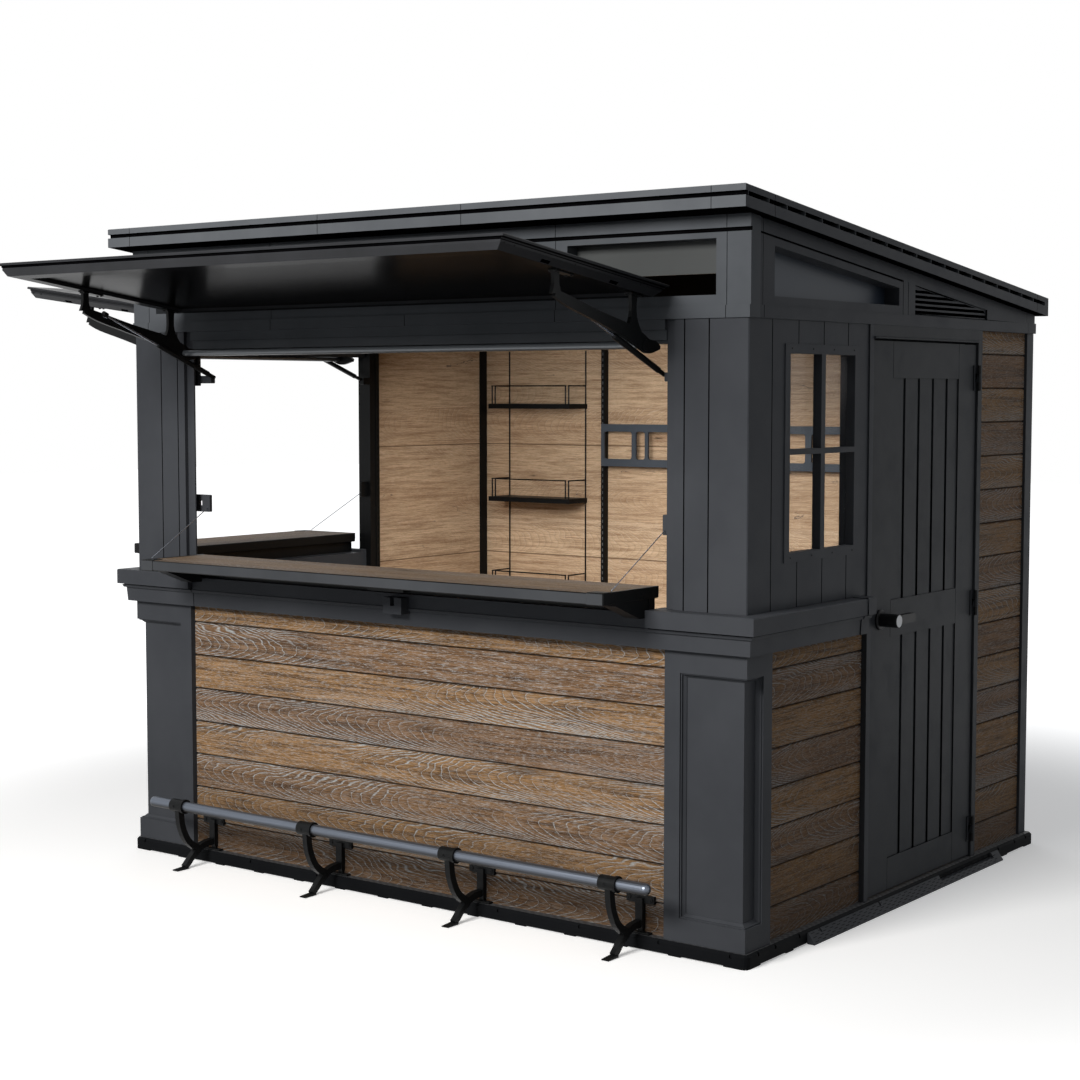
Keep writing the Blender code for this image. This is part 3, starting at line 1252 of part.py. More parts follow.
def hatch(name, low_end, high_end, front, look):
    """Serving hatch: a tray with a moulded rim on three sides and a sunk underside."""
    stack = []
    rim = HATCH_RIM / HATCH_SIDE_OVER
    for share, height in ((0.06, 1.0), (0.0, 0.94), (0.0, 0.80), (0.34, 0.76), (0.34, 0.66),
                          (0.44, 0.62), (0.44, 0.46), (1.0, 0.0), (1.0 + rim, 0.0),
                          (1.0 + rim, HATCH_FLOOR / HATCH_THICK)):
        up = HATCH_THICK * height
        inset = HATCH_SIDE_OVER * share
        front_inset = HATCH_FRONT_OVER * min(share, 1.0) + HATCH_SIDE_OVER * max(share - 1.0, 0.0)
        rear = HATCH_REAR_RIM if share > 1.0 else -HATCH_REAR_LEAN * height
        a0 = low_end - HATCH_SIDE_OVER + inset
        a1 = high_end + HATCH_SIDE_OVER - inset
        out = HATCH_LENGTH - front_inset
        stack.append([hatch_point(a0, rear, up, front), hatch_point(a1, rear, up, front),
                      hatch_point(a1, out, up, front), hatch_point(a0, out, up, front)])
    tray = rings(name, stack, look)
    cutters = []
    for end, into in ((low_end, 1.0), (high_end, -1.0)):
        inside = end - into * (HATCH_SIDE_OVER - HATCH_SLOT_IN)
        outside = end - into * HATCH_SIDE_OVER - into * 0.1
        for at in HATCH_SLOTS:
            ring_low = []
            ring_high = []
            for along, out in ((outside, at), (inside, at), (inside, at + HATCH_SLOT_LONG),
                               (outside, at + HATCH_SLOT_LONG)):
                ring_low.append(hatch_point(along, out, HATCH_SLOT_UP - HATCH_SLOT_TALL / 2.0,
                                            front))
                ring_high.append(hatch_point(along, out, HATCH_SLOT_UP + HATCH_SLOT_TALL / 2.0,
                                             front))
            cutters.append(rings("cutter", [ring_low, ring_high]))
    return cut(tray, *cutters)


def hatch_arms(name, low_end, high_end, front, look):
    """Two curved arms with bolted flanges, joined by a round tube, as one piece."""
    under = 2.0 * GAP
    tube_z = HATCH_ROOT_Z - TUBE_DROP
    places = (low_end + ARM_INSET, high_end - ARM_INSET)
    parts = []
    for at, away in zip(places, (-1.0, 1.0)):
        start = at - ARM_THICK / 2.0
        end = at + ARM_THICK / 2.0
        parts.append(plate("beam", front, strap(raised(ARM_BEAM, HATCH_ROOT_Z)), start, end))
        for (out, half, flare), foot in ((NECK_REAR, FLANGE_REAR), (NECK_FRONT, FLANGE_FRONT)):
            top = hatch_under(out) - under - FLANGE_THICK / 2.0
            beam = HATCH_ROOT_Z + beam_height(out)
            knots = ((out, beam, half + flare), (out, beam + (top - beam) * 0.45, half),
                     (out, top, half))
            parts.append(plate("neck", front, strap(knots), start, end))
            near, far = foot
            outline = ((near, hatch_under(near) - under), (far, hatch_under(far) - under),
                       (far, hatch_under(far) - under - FLANGE_THICK),
                       (near, hatch_under(near) - under - FLANGE_THICK))
            parts.append(plate("flange", front, outline, at - FLANGE_HALF, at + FLANGE_HALF))
        boss_start = spot(front, at, TUBE_OUT, tube_z)
        boss_end = spot(front, at + away * (ARM_THICK / 2.0 + BOSS_LONG), TUBE_OUT, tube_z)
        parts.append(bar("boss", boss_start, boss_end, BOSS_RADIUS, None, 16))
    tube = bar(name, spot(front, places[0], TUBE_OUT, tube_z),
               spot(front, places[1], TUBE_OUT, tube_z), TUBE_RADIUS, look)
    return join(tube, *parts)


def beam_height(out):
    """Middle height of the hatch arm's beam at a distance out, from the hatch root."""
    for (near, low, _), (far, high, _) in zip(ARM_BEAM, ARM_BEAM[1:]):
        if near <= out <= far:
            return low + (high - low) * (out - near) / (far - near)
    return ARM_BEAM[-1][1]


def strut(name, at, front, look):
    """Gas strut: a black cylinder low down and a bright rod above, with a pin at the top."""
    start = spot(front, at, STRUT_LOW[0], HATCH_ROOT_Z + STRUT_LOW[1])
    end = spot(front, at, STRUT_TOP[0], HATCH_ROOT_Z + STRUT_TOP[1])
    length = (Vector(end) - Vector(start)).length
    body = length * STRUT_SHARE
    profile = ((0.0, STRUT_EYE), (STRUT_NECK, STRUT_EYE), (STRUT_NECK + GAP, STRUT_BODY),
               (body, STRUT_BODY), (body + STRUT_ROD, STRUT_EYE), (body + STRUT_ROD, STRUT_ROD),
               (length - STRUT_PIN_LONG, STRUT_ROD), (length - STRUT_PIN_LONG, STRUT_PIN),
               (length, STRUT_PIN))
    return turned(name, start, end, profile, look, 12)


def counter(name, low_end, high_end, front, look):
    """Fold-down counter with end covers, side plates on gussets, a riser and a latch block."""
    slab = fitting_box(name, front, low_end, high_end, -COUNTER_IN, COUNTER_OUT, COUNTER_UNDER,
                       COUNTER_TOP, look)
    bevel(slab, COUNTER_EASE)
    proud = END_COVER_PROUD
    parts = []
    for start, end in ((low_end - proud, low_end + END_COVER_LONG),
                       (high_end - END_COVER_LONG, high_end + proud)):
        cover = fitting_box("cover", front, start, end, COUNTER_OUT - END_COVER_BACK,
                            COUNTER_OUT + proud, COUNTER_UNDER - proud, COUNTER_TOP + proud)
        parts.append(bevel(cover, COUNTER_EASE))
    seat = SILL_TOP + GAP
    high = COUNTER_TOP + proud / 2.0
    inside = COUNTER_UNDER + COUNTER_THICK / 3.0
    foot = SIDE_PLATE_SEAT + GUSSET_FOOT
    gusset = ((COUNTER_OUT - 2.0 * COUNTER_EASE, inside),
              (COUNTER_OUT - 2.0 * COUNTER_EASE, COUNTER_UNDER - GAP),
              (COUNTER_OUT * GUSSET_BEND, COUNTER_UNDER - GUSSET_DROP), (foot, SILL_TOP - GUSSET_LOW),
              (SIDE_PLATE_SEAT, SILL_TOP - GUSSET_LOW), (SIDE_PLATE_SEAT, inside))
    rear = -RISER_NEAR - RISER_THICK - COUNTER_EASE
    side = ((COUNTER_OUT - COUNTER_EASE, high), (COUNTER_OUT - COUNTER_EASE, inside + GAP),
            (SIDE_PLATE_SEAT - COUNTER_EASE, inside + GAP), (SIDE_PLATE_SEAT - COUNTER_EASE, seat),
            (rear, seat), (rear, inside - GAP), (-COUNTER_IN + proud, inside - GAP),
            (-COUNTER_IN + proud, high))
    for edge, inward in ((low_end + GAP, 1.0), (high_end - GAP, -1.0)):
        for outline, skip, wide in ((gusset, COUNTER_EASE / 4.0, GUSSET_WIDE),
                                    (side, 0.0, SIDE_PLATE_THICK)):
            start, end = sorted((edge + inward * skip, edge + inward * wide))
            parts.append(plate("plate", front, outline, start, end))
    parts.append(fitting_box("riser", front, low_end + SIDE_PLATE_THICK / 2.0,
                             high_end - SIDE_PLATE_THICK / 2.0, -RISER_NEAR - RISER_THICK,
                             -RISER_NEAR, seat + GAP, inside + 2.0 * GAP))
    middle = (low_end + high_end) / 2.0
    parts.append(fitting_box("latch", front, middle - LATCH_WIDE / 2.0, middle + LATCH_WIDE / 2.0,
                             LATCH_BACK, LATCH_OUT, COUNTER_UNDER - LATCH_TALL,
                             COUNTER_UNDER + COUNTER_EASE))
    return join(slab, *parts)


def stay(name, at_low, at_high, front, look):
    """Thin taut wire from the counter's end cover up to the tab on the post."""
    low = spot(front, at_low, STAY_OUT, COUNTER_TOP + END_COVER_PROUD + STAY_RADIUS + GAP)
    high = spot(front, at_high, TAB_LAP - WALL_INNER + STAY_RADIUS, COUNTER_TOP + STAY_RISE)
    return bar(name, low, high, STAY_RADIUS, look, 8)


def foot_rail(look):
    """Round steel rail with domed ends."""
    length = BASE_WIDTH - 2.0 * RAIL_END
    dome = []
    for turn in (15.0, 40.0, 65.0, 90.0):
        angle = math.radians(turn)
        dome.append((RAIL_DOME * (1.0 - math.cos(angle)), RAIL_RADIUS * math.sin(angle)))
    profile = dome + [(length - distance, radius) for distance, radius in reversed(dome)]
    return turned("foot_rail", place(RAIL_END, -RAIL_OUT, RAIL_Z),
                  place(BASE_WIDTH - RAIL_END, -RAIL_OUT, RAIL_Z), profile, look, 20)


def bracket_places():
    """Middles of the foot rail brackets, evenly spaced."""
    run = BASE_WIDTH - 2.0 * BRACKET_FROM_END
    return [BRACKET_FROM_END + run * index / (BRACKET_COUNT - 1) for index in range(BRACKET_COUNT)]


def rail_bracket(name, at, look):
    """Cast bracket: clamp and collar, a curved arm and foot, a post and lug on the wall."""
    start = place(at - CLAMP_LONG / 2.0, -RAIL_OUT, RAIL_Z)
    far = place(at + CLAMP_LONG / 2.0, -RAIL_OUT, RAIL_Z)
    profile = ((0.0, CLAMP_RADIUS), (CLAMP_LONG - COLLAR_LONG, CLAMP_RADIUS),
               (CLAMP_LONG - COLLAR_LONG, COLLAR_RADIUS), (CLAMP_LONG, COLLAR_RADIUS))
    body = turned(name, start, far, profile, look, 24)
    wall = -WOOD_INSET + GAP
    low = BASE_HEIGHT + GAP
    toe_near, toe_far, toe_low, toe_high = BRACKET_TOE
    toe = ((toe_near, toe_low), (toe_far, toe_low), (toe_far, toe_low + 0.003),
           (toe_near, toe_high))
    parts = [plate("strap", True, strap(knots), at - BRACKET_HALF, at + BRACKET_HALF)
             for knots in (BRACKET_ARM, BRACKET_FOOT, BRACKET_LINK)]
    parts.append(plate("toe", True, toe, at - BRACKET_POST_HALF, at + BRACKET_POST_HALF))
    for half, deep, z0, z1 in (
            (BRACKET_POST_HALF, BRACKET_POST_DEEP, BRACKET_POST_LOW, BRACKET_POST_HIGH),
            (BRACKET_LUG_HALF, BRACKET_LUG_DEEP, BRACKET_LUG_LOW, BRACKET_LUG_HIGH)):
        parts.append(fitting_box("post", True, at - half, at + half, wall, wall + deep, z0, z1))
    parts.append(fitting_box("tab", True, at - BRACKET_TAB_HALF, at + BRACKET_TAB_HALF, wall,
                             -BRACKET_TAB_OUT - BASE_CHAMFER, low, low + BRACKET_TAB_THICK))
    parts.append(fitting_box("heel", True, at - BRACKET_HALF, at + BRACKET_HALF, wall,
                             wall + BRACKET_LUG_DEEP, low, BRACKET_POST_LOW + 0.001))
    join(body, *parts)
    bore = (RAIL_RADIUS + GAP) / math.cos(math.radians(9.0))
    return cut(body, bar("cutter", place(at - 0.1, -RAIL_OUT, RAIL_Z),
                         place(at + 0.1, -RAIL_OUT, RAIL_Z), bore, None, 20))


def wire_shelf(look):
    """Narrow shelves with wire galleries, hung between two wires on the back wall."""
    wall = BASE_DEPTH - WALL_INNER
    wire = wall - GAP - WIRE_RADIUS
    front = wall - SHELF_DEEP + GALLERY_BACK
    unit = None
    parts = []
    for index in range(SHELF_COUNT):
        top = SHELF_TOP - SHELF_PITCH * index
        shelf = box("wire_shelf", SHELF_LEFT, SHELF_RIGHT, wall - SHELF_DEEP, wall - GAP,
                    top - SHELF_THICK, top, look)
        if unit is None:
            unit = shelf
        else:
            parts.append(shelf)
        high = top + GALLERY_UP
        inner_left = WIRE_LEFT + GALLERY_IN
        inner_right = WIRE_RIGHT - GALLERY_IN
        for a in (WIRE_LEFT, inner_left, inner_right, WIRE_RIGHT):
            parts.append(bar("wire", place(a, front, top - WIRE_RADIUS), place(a, front, high),
                             WIRE_RADIUS, None, 6))
        for a in (WIRE_LEFT, WIRE_RIGHT):
            parts.append(bar("wire", place(a, front - WIRE_RADIUS, high), place(a, wire, high),
                             WIRE_RADIUS, None, 6))
        parts.append(bar("wire", place(inner_left - WIRE_RADIUS, front, high),
                         place(inner_right + WIRE_RADIUS, front, high), WIRE_RADIUS, None, 6))
    bottom = SHELF_TOP - SHELF_PITCH * (SHELF_COUNT - 1) - SHELF_THICK / 2.0
    for a in (WIRE_LEFT, WIRE_RIGHT):
        parts.append(bar("wire", place(a, wire, bottom),
                         place(a, wire, BAND_BOTTOM - WIRE_TOP), WIRE_RADIUS, None, 6))
    return join(unit, *parts)


def rounded_hole(a0, a1, z0, z1, radius):
    """Outline of a hole with rounded corners, in (a, z)."""
    radius = min(radius, (a1 - a0) / 2.2, (z1 - z0) / 2.2)
    outline = []
    for a, z, turn in ((a1 - radius, z1 - radius, 0), (a0 + radius, z1 - radius, 90),
                       (a0 + radius, z0 + radius, 180), (a1 - radius, z0 + radius, 270)):
        for step in range(4):
            angle = math.radians(turn + 30.0 * step)
            outline.append((a + radius * math.cos(angle), z + radius * math.sin(angle)))
    return outline


def bottle_rack(look):
    """Flat rack of two rails joined by webs, with rounded openings, on the standards."""
    back = BASE_DEPTH - WALL_INNER - STANDARD_DEEP - 2.0 * GAP
    left = RACK_WEBS[0][0]
    right = BASE_WIDTH - left
    rack = box("bottle_rack", left, right, back - RACK_DEEP, back, RACK_LOW, RACK_LOW + RACK_TALL,
               look)
    edges = [edge for web in RACK_WEBS for edge in web] + [right - (RACK_WEBS[0][1] - left)]
    cutters = []
    for start, end in zip(edges[1::2], edges[2::2]):
        hole = rounded_hole(start, end, RACK_LOW + RACK_RAIL, RACK_LOW + RACK_TALL - RACK_RAIL,
                            RACK_ROUND)
        cutters.append(across_y("cutter", hole, back - 0.1, back + 0.1))
    return cut(rack, *cutters)


def wall_standard(name, right, look):
    """Upright slotted standard on the back wall that carries the rack."""
    side = mirror_side(right)
    wall = BASE_DEPTH - WALL_INNER - GAP
    low, high = sorted((side(STANDARD_LEFT), side(STANDARD_LEFT + STANDARD_WIDE)))
    return box(name, low, high, wall - STANDARD_DEEP, wall, STANDARD_LOW,
               BAND_BOTTOM - STANDARD_BELOW_BAND, look)


def wood_panels(look):
    """Board walls between the posts, one slab each."""
    low = BASE_HEIGHT + GAP
    belt_low = BELT_BOTTOM - GAP
    tall = BAND_BOTTOM - GAP
    block_end = BLOCK_INSET + BLOCK_WIDE + GAP
    block_side = BLOCK_INSET + BLOCK_DEEP + GAP
    outer = BASE_WIDTH - WOOD_INSET
    inner = BASE_WIDTH - WALL_INNER
    post_front = BASE_DEPTH - REAR_INSET - REAR_POST_DEEP - GAP
    post_edge = REAR_INSET + REAR_POST_WIDE + GAP
    box("front_wood_panel", block_end, BASE_WIDTH - block_end, WOOD_INSET, WALL_INNER, low,
        belt_low, look)
    box("right_front_wood_panel", inner, outer, block_side, SIDE_WALL_END, low, belt_low, look)
    box("right_rear_wood_panel", inner, outer, JAMB_END + GAP, post_front, low, tall, look)
    box("left_front_wood_panel", WOOD_INSET, WALL_INNER, block_side, LEFT_OPEN_REAR, low,
        belt_low, look)
    box("left_rear_wood_panel", WOOD_INSET, WALL_INNER, LEFT_POST_REAR + GAP, post_front, low,
        tall, look)
    box("back_wood_panel", post_edge, BASE_WIDTH - post_edge, BASE_DEPTH - WALL_INNER,
        BASE_DEPTH - WOOD_INSET, low, tall, look)


def fittings(gloss, black, wood, wire):
    """Hatches, arms, struts, counters and stays, on the front and on the left side."""
    for side, front, open_low, open_high, struts, stays in (
            ("front", True, OPEN_FROM_END, BASE_WIDTH - OPEN_FROM_END,
             ("front_left_strut", "front_right_strut"), ("front_left_stay", "front_right_stay")),
            ("left", False, LEFT_OPEN_FRONT, LEFT_OPEN_REAR,
             ("left_front_strut", "left_rear_strut"), ("left_front_stay", "left_rear_stay"))):
        low = open_low + FITTING_GAP
        high = open_high - FITTING_GAP
        hatch(side + "_hatch", low, high, front, gloss)
        hatch_arms(side + "_hatch_arms", low, high, front, black)
        strut(struts[0], low + STRUT_INSET, front, black)
        strut(struts[1], high - STRUT_INSET, front, black)
        counter_low = open_low + COUNTER_END
        counter_high = open_high - COUNTER_END
        counter(side + "_counter", counter_low, counter_high, front, wood)
        stay(stays[0], counter_low + STAY_LEAN, counter_low - STAY_LEAN / 2.0, front, wire)
        stay(stays[1], counter_high - STAY_LEAN, counter_high + STAY_LEAN / 2.0, front, wire)


def build():
    clear_scene()
    resin = material("dark_resin", (0.045, 0.048, 0.053), 0.55)
    resin_light = material("grey_resin", (0.060, 0.064, 0.070), 0.50)
    wood = material("limed_wood", (0.18, 0.115, 0.07), 0.65)
    gloss = material("gloss_black", (0.008, 0.008, 0.009), 0.18)
    black = material("black_metal", (0.012, 0.012, 0.013), 0.35, 0.6)
    steel = material("rail_steel", (0.32, 0.36, 0.42), 0.28, 0.9)
    glass = material("glass", (0.10, 0.12, 0.15), 0.08)
    wire = material("stay_wire", (0.55, 0.57, 0.60), 0.3, 0.9)

    base_floor(resin)
    threshold_ramp(resin_light)
    corner_block("front_right_block", True, resin)
    corner_block("front_left_block", False, resin)
    wood_panels(wood)
    belt(resin)

    right_upper_wall(resin)
    left_upper_post(resin)
    left_jamb_post(black)
    rear_post("right_rear_post", True, resin)
    rear_post("left_rear_post", False, resin)
    window_frame(resin)
    window_glass(glass)
    door_jambs(resin)
    door_leaf(resin)
    door_hinges(black)
    door_handle(black)

    header("front_header", True, resin)
    header("left_header", False, resin)
    frieze(resin)
    high_panes(glass)
    for name, right in (("right_gable", True), ("left_gable", False)):
        gable(name, right, resin)
        gable_pane(name + "_pane", right, glass)
    box("back_header", WALL_INNER + GAP, BASE_WIDTH - WALL_INNER - GAP, BASE_DEPTH - WALL_INNER,
        BASE_DEPTH - REAR_INSET, BAND_BOTTOM, roof_under(BASE_DEPTH - REAR_INSET) - GAP, resin)
    roof(resin_light)

    fittings(gloss, black, wood, wire)
    foot_rail(steel)
    for index, at in enumerate(bracket_places()):
        rail_bracket("rail_bracket_" + str(index + 1), at, black)
    wire_shelf(black)
    bottle_rack(resin_light)
    wall_standard("wall_standard_left", False, black)
    wall_standard("wall_standard_right", True, black)


build()
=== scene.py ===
"""Looks of the garden bar hut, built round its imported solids."""
import math

import bpy
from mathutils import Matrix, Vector
from mathutils.bvhtree import BVHTree


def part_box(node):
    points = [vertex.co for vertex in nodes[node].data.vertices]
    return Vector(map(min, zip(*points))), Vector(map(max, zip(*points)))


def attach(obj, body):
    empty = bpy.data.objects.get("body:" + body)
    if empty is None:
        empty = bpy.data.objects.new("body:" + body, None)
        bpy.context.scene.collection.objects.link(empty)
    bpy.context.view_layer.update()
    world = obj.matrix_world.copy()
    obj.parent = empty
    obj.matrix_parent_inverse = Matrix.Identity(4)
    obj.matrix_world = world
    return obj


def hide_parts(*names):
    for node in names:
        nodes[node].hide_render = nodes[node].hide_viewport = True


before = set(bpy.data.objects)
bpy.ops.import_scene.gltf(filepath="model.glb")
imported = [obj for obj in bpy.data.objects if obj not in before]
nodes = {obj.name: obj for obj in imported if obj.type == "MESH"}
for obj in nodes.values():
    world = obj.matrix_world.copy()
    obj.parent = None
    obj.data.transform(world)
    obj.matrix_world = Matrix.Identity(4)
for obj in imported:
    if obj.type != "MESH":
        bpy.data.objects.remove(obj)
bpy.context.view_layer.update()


# ---- Base slab
# The hut stands on a moulded resin floor with eased edges and notches for its ground anchors.
# It is injection moulded, dark and matt, with a fine grain and a ribbed tread inside.
class Value:
    """One number or colour that runs through the nodes of a finish, so sums read as sums."""

    def __init__(self, finish, socket):
        self.finish = finish
        self.socket = socket

    def __add__(self, other):
        return self.finish.maths("ADD", self, other)

    def __radd__(self, other):
        return self.finish.maths("ADD", other, self)

    def __sub__(self, other):
        return self.finish.maths("SUBTRACT", self, other)

    def __rsub__(self, other):
        return self.finish.maths("SUBTRACT", other, self)

    def __mul__(self, other):
        return self.finish.maths("MULTIPLY", self, other)

    def __rmul__(self, other):
        return self.finish.maths("MULTIPLY", other, self)

    def __truediv__(self, other):
        return self.finish.maths("DIVIDE", self, other)


class Finish:
    """A material made of one principled shader and the nodes that feed it."""

    def __init__(self, name, roughness=0.5, metallic=0.0, gloss=0.5):
        self.material = bpy.data.materials.new(name)
        self.material.use_nodes = True
        self.tree = self.material.node_tree
        self.shader = self.tree.nodes["Principled BSDF"]
        self.set("Roughness", roughness)
        self.set("Metallic", metallic)
        self.shader.inputs["Specular IOR Level"].default_value = gloss
        self.point = self.node("TexCoord", out="Object")

    def feed(self, socket, value):
        if isinstance(value, Value):
            self.tree.links.new(value.socket, socket)
        else:
            socket.default_value = value

    def set(self, socket, value):
        self.feed(self.shader.inputs[socket], value)

    def node(self, kind, settings=None, inputs=None, out=0):
        made = self.tree.nodes.new("ShaderNode" + kind)
        for key, value in (settings or {}).items():
            setattr(made, key, value)
        for key, value in (inputs or {}).items():
            self.feed(made.inputs[key], value)
        return Value(self, made.outputs[out])

    def maths(self, operation, *terms):
        return self.node("Math", {"operation": operation}, dict(enumerate(terms)))

    def axes(self):
        split = self.tree.nodes.new("ShaderNodeSeparateXYZ")
        self.feed(split.inputs[0], self.point)
        return [Value(self, socket) for socket in split.outputs]

    def vector(self, x, y, z):
        return self.node("CombineXYZ", None, {0: x, 1: y, 2: z})

    def fade(self, value, start, end):
        return self.node("MapRange", {"interpolation_type": "SMOOTHSTEP"},
                         {"Value": value, "From Min": start, "From Max": end})

    def blend(self, factor, first, second):
        return self.node("Mix", {"data_type": "RGBA"}, {0: factor, 6: first, 7: second}, 2)

    def noise(self, vector, scale, detail=2.0, rough=0.5):
        return self.node("TexNoise", None, {"Vector": vector, "Scale": scale, "Detail": detail,
                                            "Roughness": rough})

    def bump(self, height, distance, strength=1.0):
        self.set("Normal", self.node("Bump", None, {"Height": height, "Distance": distance,
                                                    "Strength": strength}))


def tone(red, green, blue):
    """A screen colour, 0 to 255, as the linear colour that a shader takes."""
    return (*[(value / 255.0 / 12.92) if value <= 10.3 else
              ((value / 255.0 + 0.055) / 1.055) ** 2.4 for value in (red, green, blue)], 1.0)


def moulded_resin(name, colour, pale, roughness, gloss=0.05):
    """Matt moulded resin: soft cloudy tone, fine grain, a little rubbed in broad patches."""
    finish = Finish(name, roughness, 0.0, gloss)
    cloud = finish.noise(finish.point, 2.3, 4.0, 0.6)
    rubbed = finish.fade(finish.noise(finish.point, 11.0, 5.0, 0.65), 0.42, 0.75)
    grain = finish.noise(finish.point, 620.0, 1.0)
    shade = finish.blend(finish.fade(cloud, 0.3, 0.7), colour, pale)
    finish.set("Base Color", finish.blend(rubbed * 0.22, shade, pale))
    finish.set("Roughness", roughness - 0.06 + rubbed * 0.10 + grain * 0.05)
    finish.bump(grain, 0.0004, 0.35)
    return finish.material


base_resin = moulded_resin("base_resin", tone(15, 16, 18), tone(21, 22, 24), 0.55, 0.02)
# Painted shade: a near-black for faces deep in seams and grooves, where shade falls.
groove_painted_shade = moulded_resin("groove_painted_shade", tone(4, 4, 5), tone(8, 8, 9), 0.9, 0.0)


def dress(node, *materials):
    """Give a solid its own list of materials, the first of them all over."""
    mesh = nodes[node].data
    mesh.materials.clear()
    for material in materials:
        mesh.materials.append(material)
    for face in mesh.polygons:
        face.material_index = 0
    return mesh


def repaint(mesh, index, test):
    """Give one material to the faces whose middle and normal pass a test."""
    for face in mesh.polygons:
        if test(face.center, face.normal):
            face.material_index = index


groove_leans = [math.radians(degrees) for degrees in (20.0, 45.0, 68.0)]
groove_turns = [math.radians(22.5 + 45.0 * step) for step in range(8)]
groove_rays = [Vector((math.sin(lean) * math.cos(turn), math.sin(lean) * math.sin(turn),
                       math.cos(lean))) for lean in groove_leans for turn in groove_turns]
ray_start = 0.0001


def paint_groove_shade(node, share=0.5, reach=0.014):
    """Paint shade on the faces that lie deep in a node's seams and grooves: they get the
    near-black painted groove shade.

    A face lies deep where that share of the rays that leave it end on the same node."""
    mesh = nodes[node].data
    solid = BVHTree.FromPolygons([point.co for point in mesh.vertices],
                                 [face.vertices[:] for face in mesh.polygons])
    index = len(mesh.materials)
    mesh.materials.append(groove_painted_shade)
    for face in mesh.polygons:
        turn = face.normal.to_track_quat("Z", "X")
        start = face.center + face.normal * ray_start
        hits = sum(solid.ray_cast(start, turn @ ray, reach)[0] is not None for ray in groove_rays)
        if hits >= share * len(groove_rays):
            face.material_index = index


rib_turns = 210.0
floor_tread = Finish("floor_tread", 0.6)
tread_x, tread_y = floor_tread.axes()[:2]
tread_rib = (floor_tread.maths("SINE", tread_x * rib_turns)
             * floor_tread.maths("SINE", tread_y * rib_turns))
floor_tread.set("Base Color", floor_tread.blend(floor_tread.fade(tread_rib, -0.4, 0.8),
                                                tone(48, 49, 51), tone(62, 63, 65)))
floor_tread.bump(tread_rib, 0.0015, 0.8)
base_low, base_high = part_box("base_floor")
floor_mesh = dress("base_floor", base_resin, floor_tread.material)
repaint(floor_mesh, 1, lambda middle, normal: normal.z > 0.9 and middle.z > base_high.z - 0.001)
# Painted shade on the faces deep in the floor's seams and grooves.
paint_groove_shade("base_floor")


# ---- Threshold ramp
# A sloping resin strip clipped to the base below the door, so a trolley rolls over the edge.
# It is moulded in one piece, with rows of short slots for grip.
def begin():
    """Leave nothing selected, so that the next operator acts on the new piece alone."""
    if bpy.context.mode != "OBJECT":
        bpy.ops.object.mode_set(mode="OBJECT")
    bpy.ops.object.select_all(action="DESELECT")


def block(name, low, high):
    """A block between two corners, with its place in its mesh."""
    begin()
    low = Vector(low)
    high = Vector(high)
    bpy.ops.mesh.primitive_cube_add(size=1.0, location=(low + high) / 2.0)
    piece = bpy.context.active_object
    piece.name = name
    piece.scale = high - low
    bpy.ops.object.transform_apply(location=True, rotation=True, scale=True)
    return piece


def edit(piece, kind="FACE"):
    """Open one piece in edit mode with nothing selected."""
    begin()
    piece.select_set(True)
    bpy.context.view_layer.objects.active = piece
    bpy.ops.object.mode_set(mode="EDIT")
    bpy.ops.mesh.select_mode(type=kind)
    bpy.ops.mesh.select_all(action="DESELECT")
    bpy.ops.object.mode_set(mode="OBJECT")


def pick_faces(piece, test):
    """Select the faces that pass a test on middle and normal, and go on in edit mode."""
    edit(piece, "FACE")
    for face in piece.data.polygons:
        face.select = test(face.center, face.normal)
    bpy.ops.object.mode_set(mode="EDIT")


def scatter(pattern, name, places, turn=None):
    """Copies of one pattern piece at many places, joined into one piece; the pattern goes."""
    made = []
    for place in places:
        copy = pattern.copy()
        copy.data = pattern.data.copy()
        bpy.context.scene.collection.objects.link(copy)
        copy.location = place
        if turn is not None:
            copy.rotation_euler = turn
        made.append(copy)
    begin()
    for copy in made:
        copy.select_set(True)
    bpy.context.view_layer.objects.active = made[0]
    bpy.ops.object.join()
    joined = bpy.context.active_object
    bpy.ops.object.transform_apply(location=True, rotation=True, scale=True)
    joined.name = name
    bpy.data.objects.remove(pattern)
    return joined


def finish_piece(piece, body, slot, *materials):
    """Materials and body of a finished piece; the slot argument is not used."""
    begin()
    piece.data.materials.clear()
    for material in materials:
        piece.data.materials.append(material)
    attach(piece, body)


dark_resin = moulded_resin("dark_resin", tone(55, 57, 61), tone(63, 65, 69), 0.46)
ramp_low, ramp_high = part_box("threshold_ramp")
dress("threshold_ramp", dark_resin)
ramp_lip = 0.003
slope_run = ramp_high.x - ramp_low.x - ramp_lip
slope_drop = ramp_high.z - ramp_lip
slot_rows = 5
slot_pitch = 0.046
slot_half_width = 0.0011
slot_half_length = 0.010
slot_sunk = 0.0005
slot_proud = 0.0006
slot_wall = 0.0004
slots_in_row = int((ramp_high.y - ramp_low.y) / slot_pitch)
ramp_places = []
for row in range(slot_rows):
    down = (row + 0.8) / (slot_rows + 0.6)
    for index in range(slots_in_row):
        slot_y = ramp_low.y + slot_pitch * (index + 0.5 + 0.5 * (row % 2))
        if slot_y <= ramp_high.y - slot_pitch * 0.4:
            ramp_places.append((ramp_low.x + ramp_lip + slope_run * down, slot_y,
                                ramp_high.z - slope_drop * down))
ramp_slot = block("ramp_slot", (-slot_half_width, -slot_half_length, -slot_sunk),
                  (slot_half_width, slot_half_length, slot_proud))
pick_faces(ramp_slot, lambda middle, normal: normal.z > 0.9)
bpy.ops.mesh.inset(thickness=slot_wall, depth=-slot_wall)
begin()
ramp_lean = math.atan2(slope_drop, slope_run)
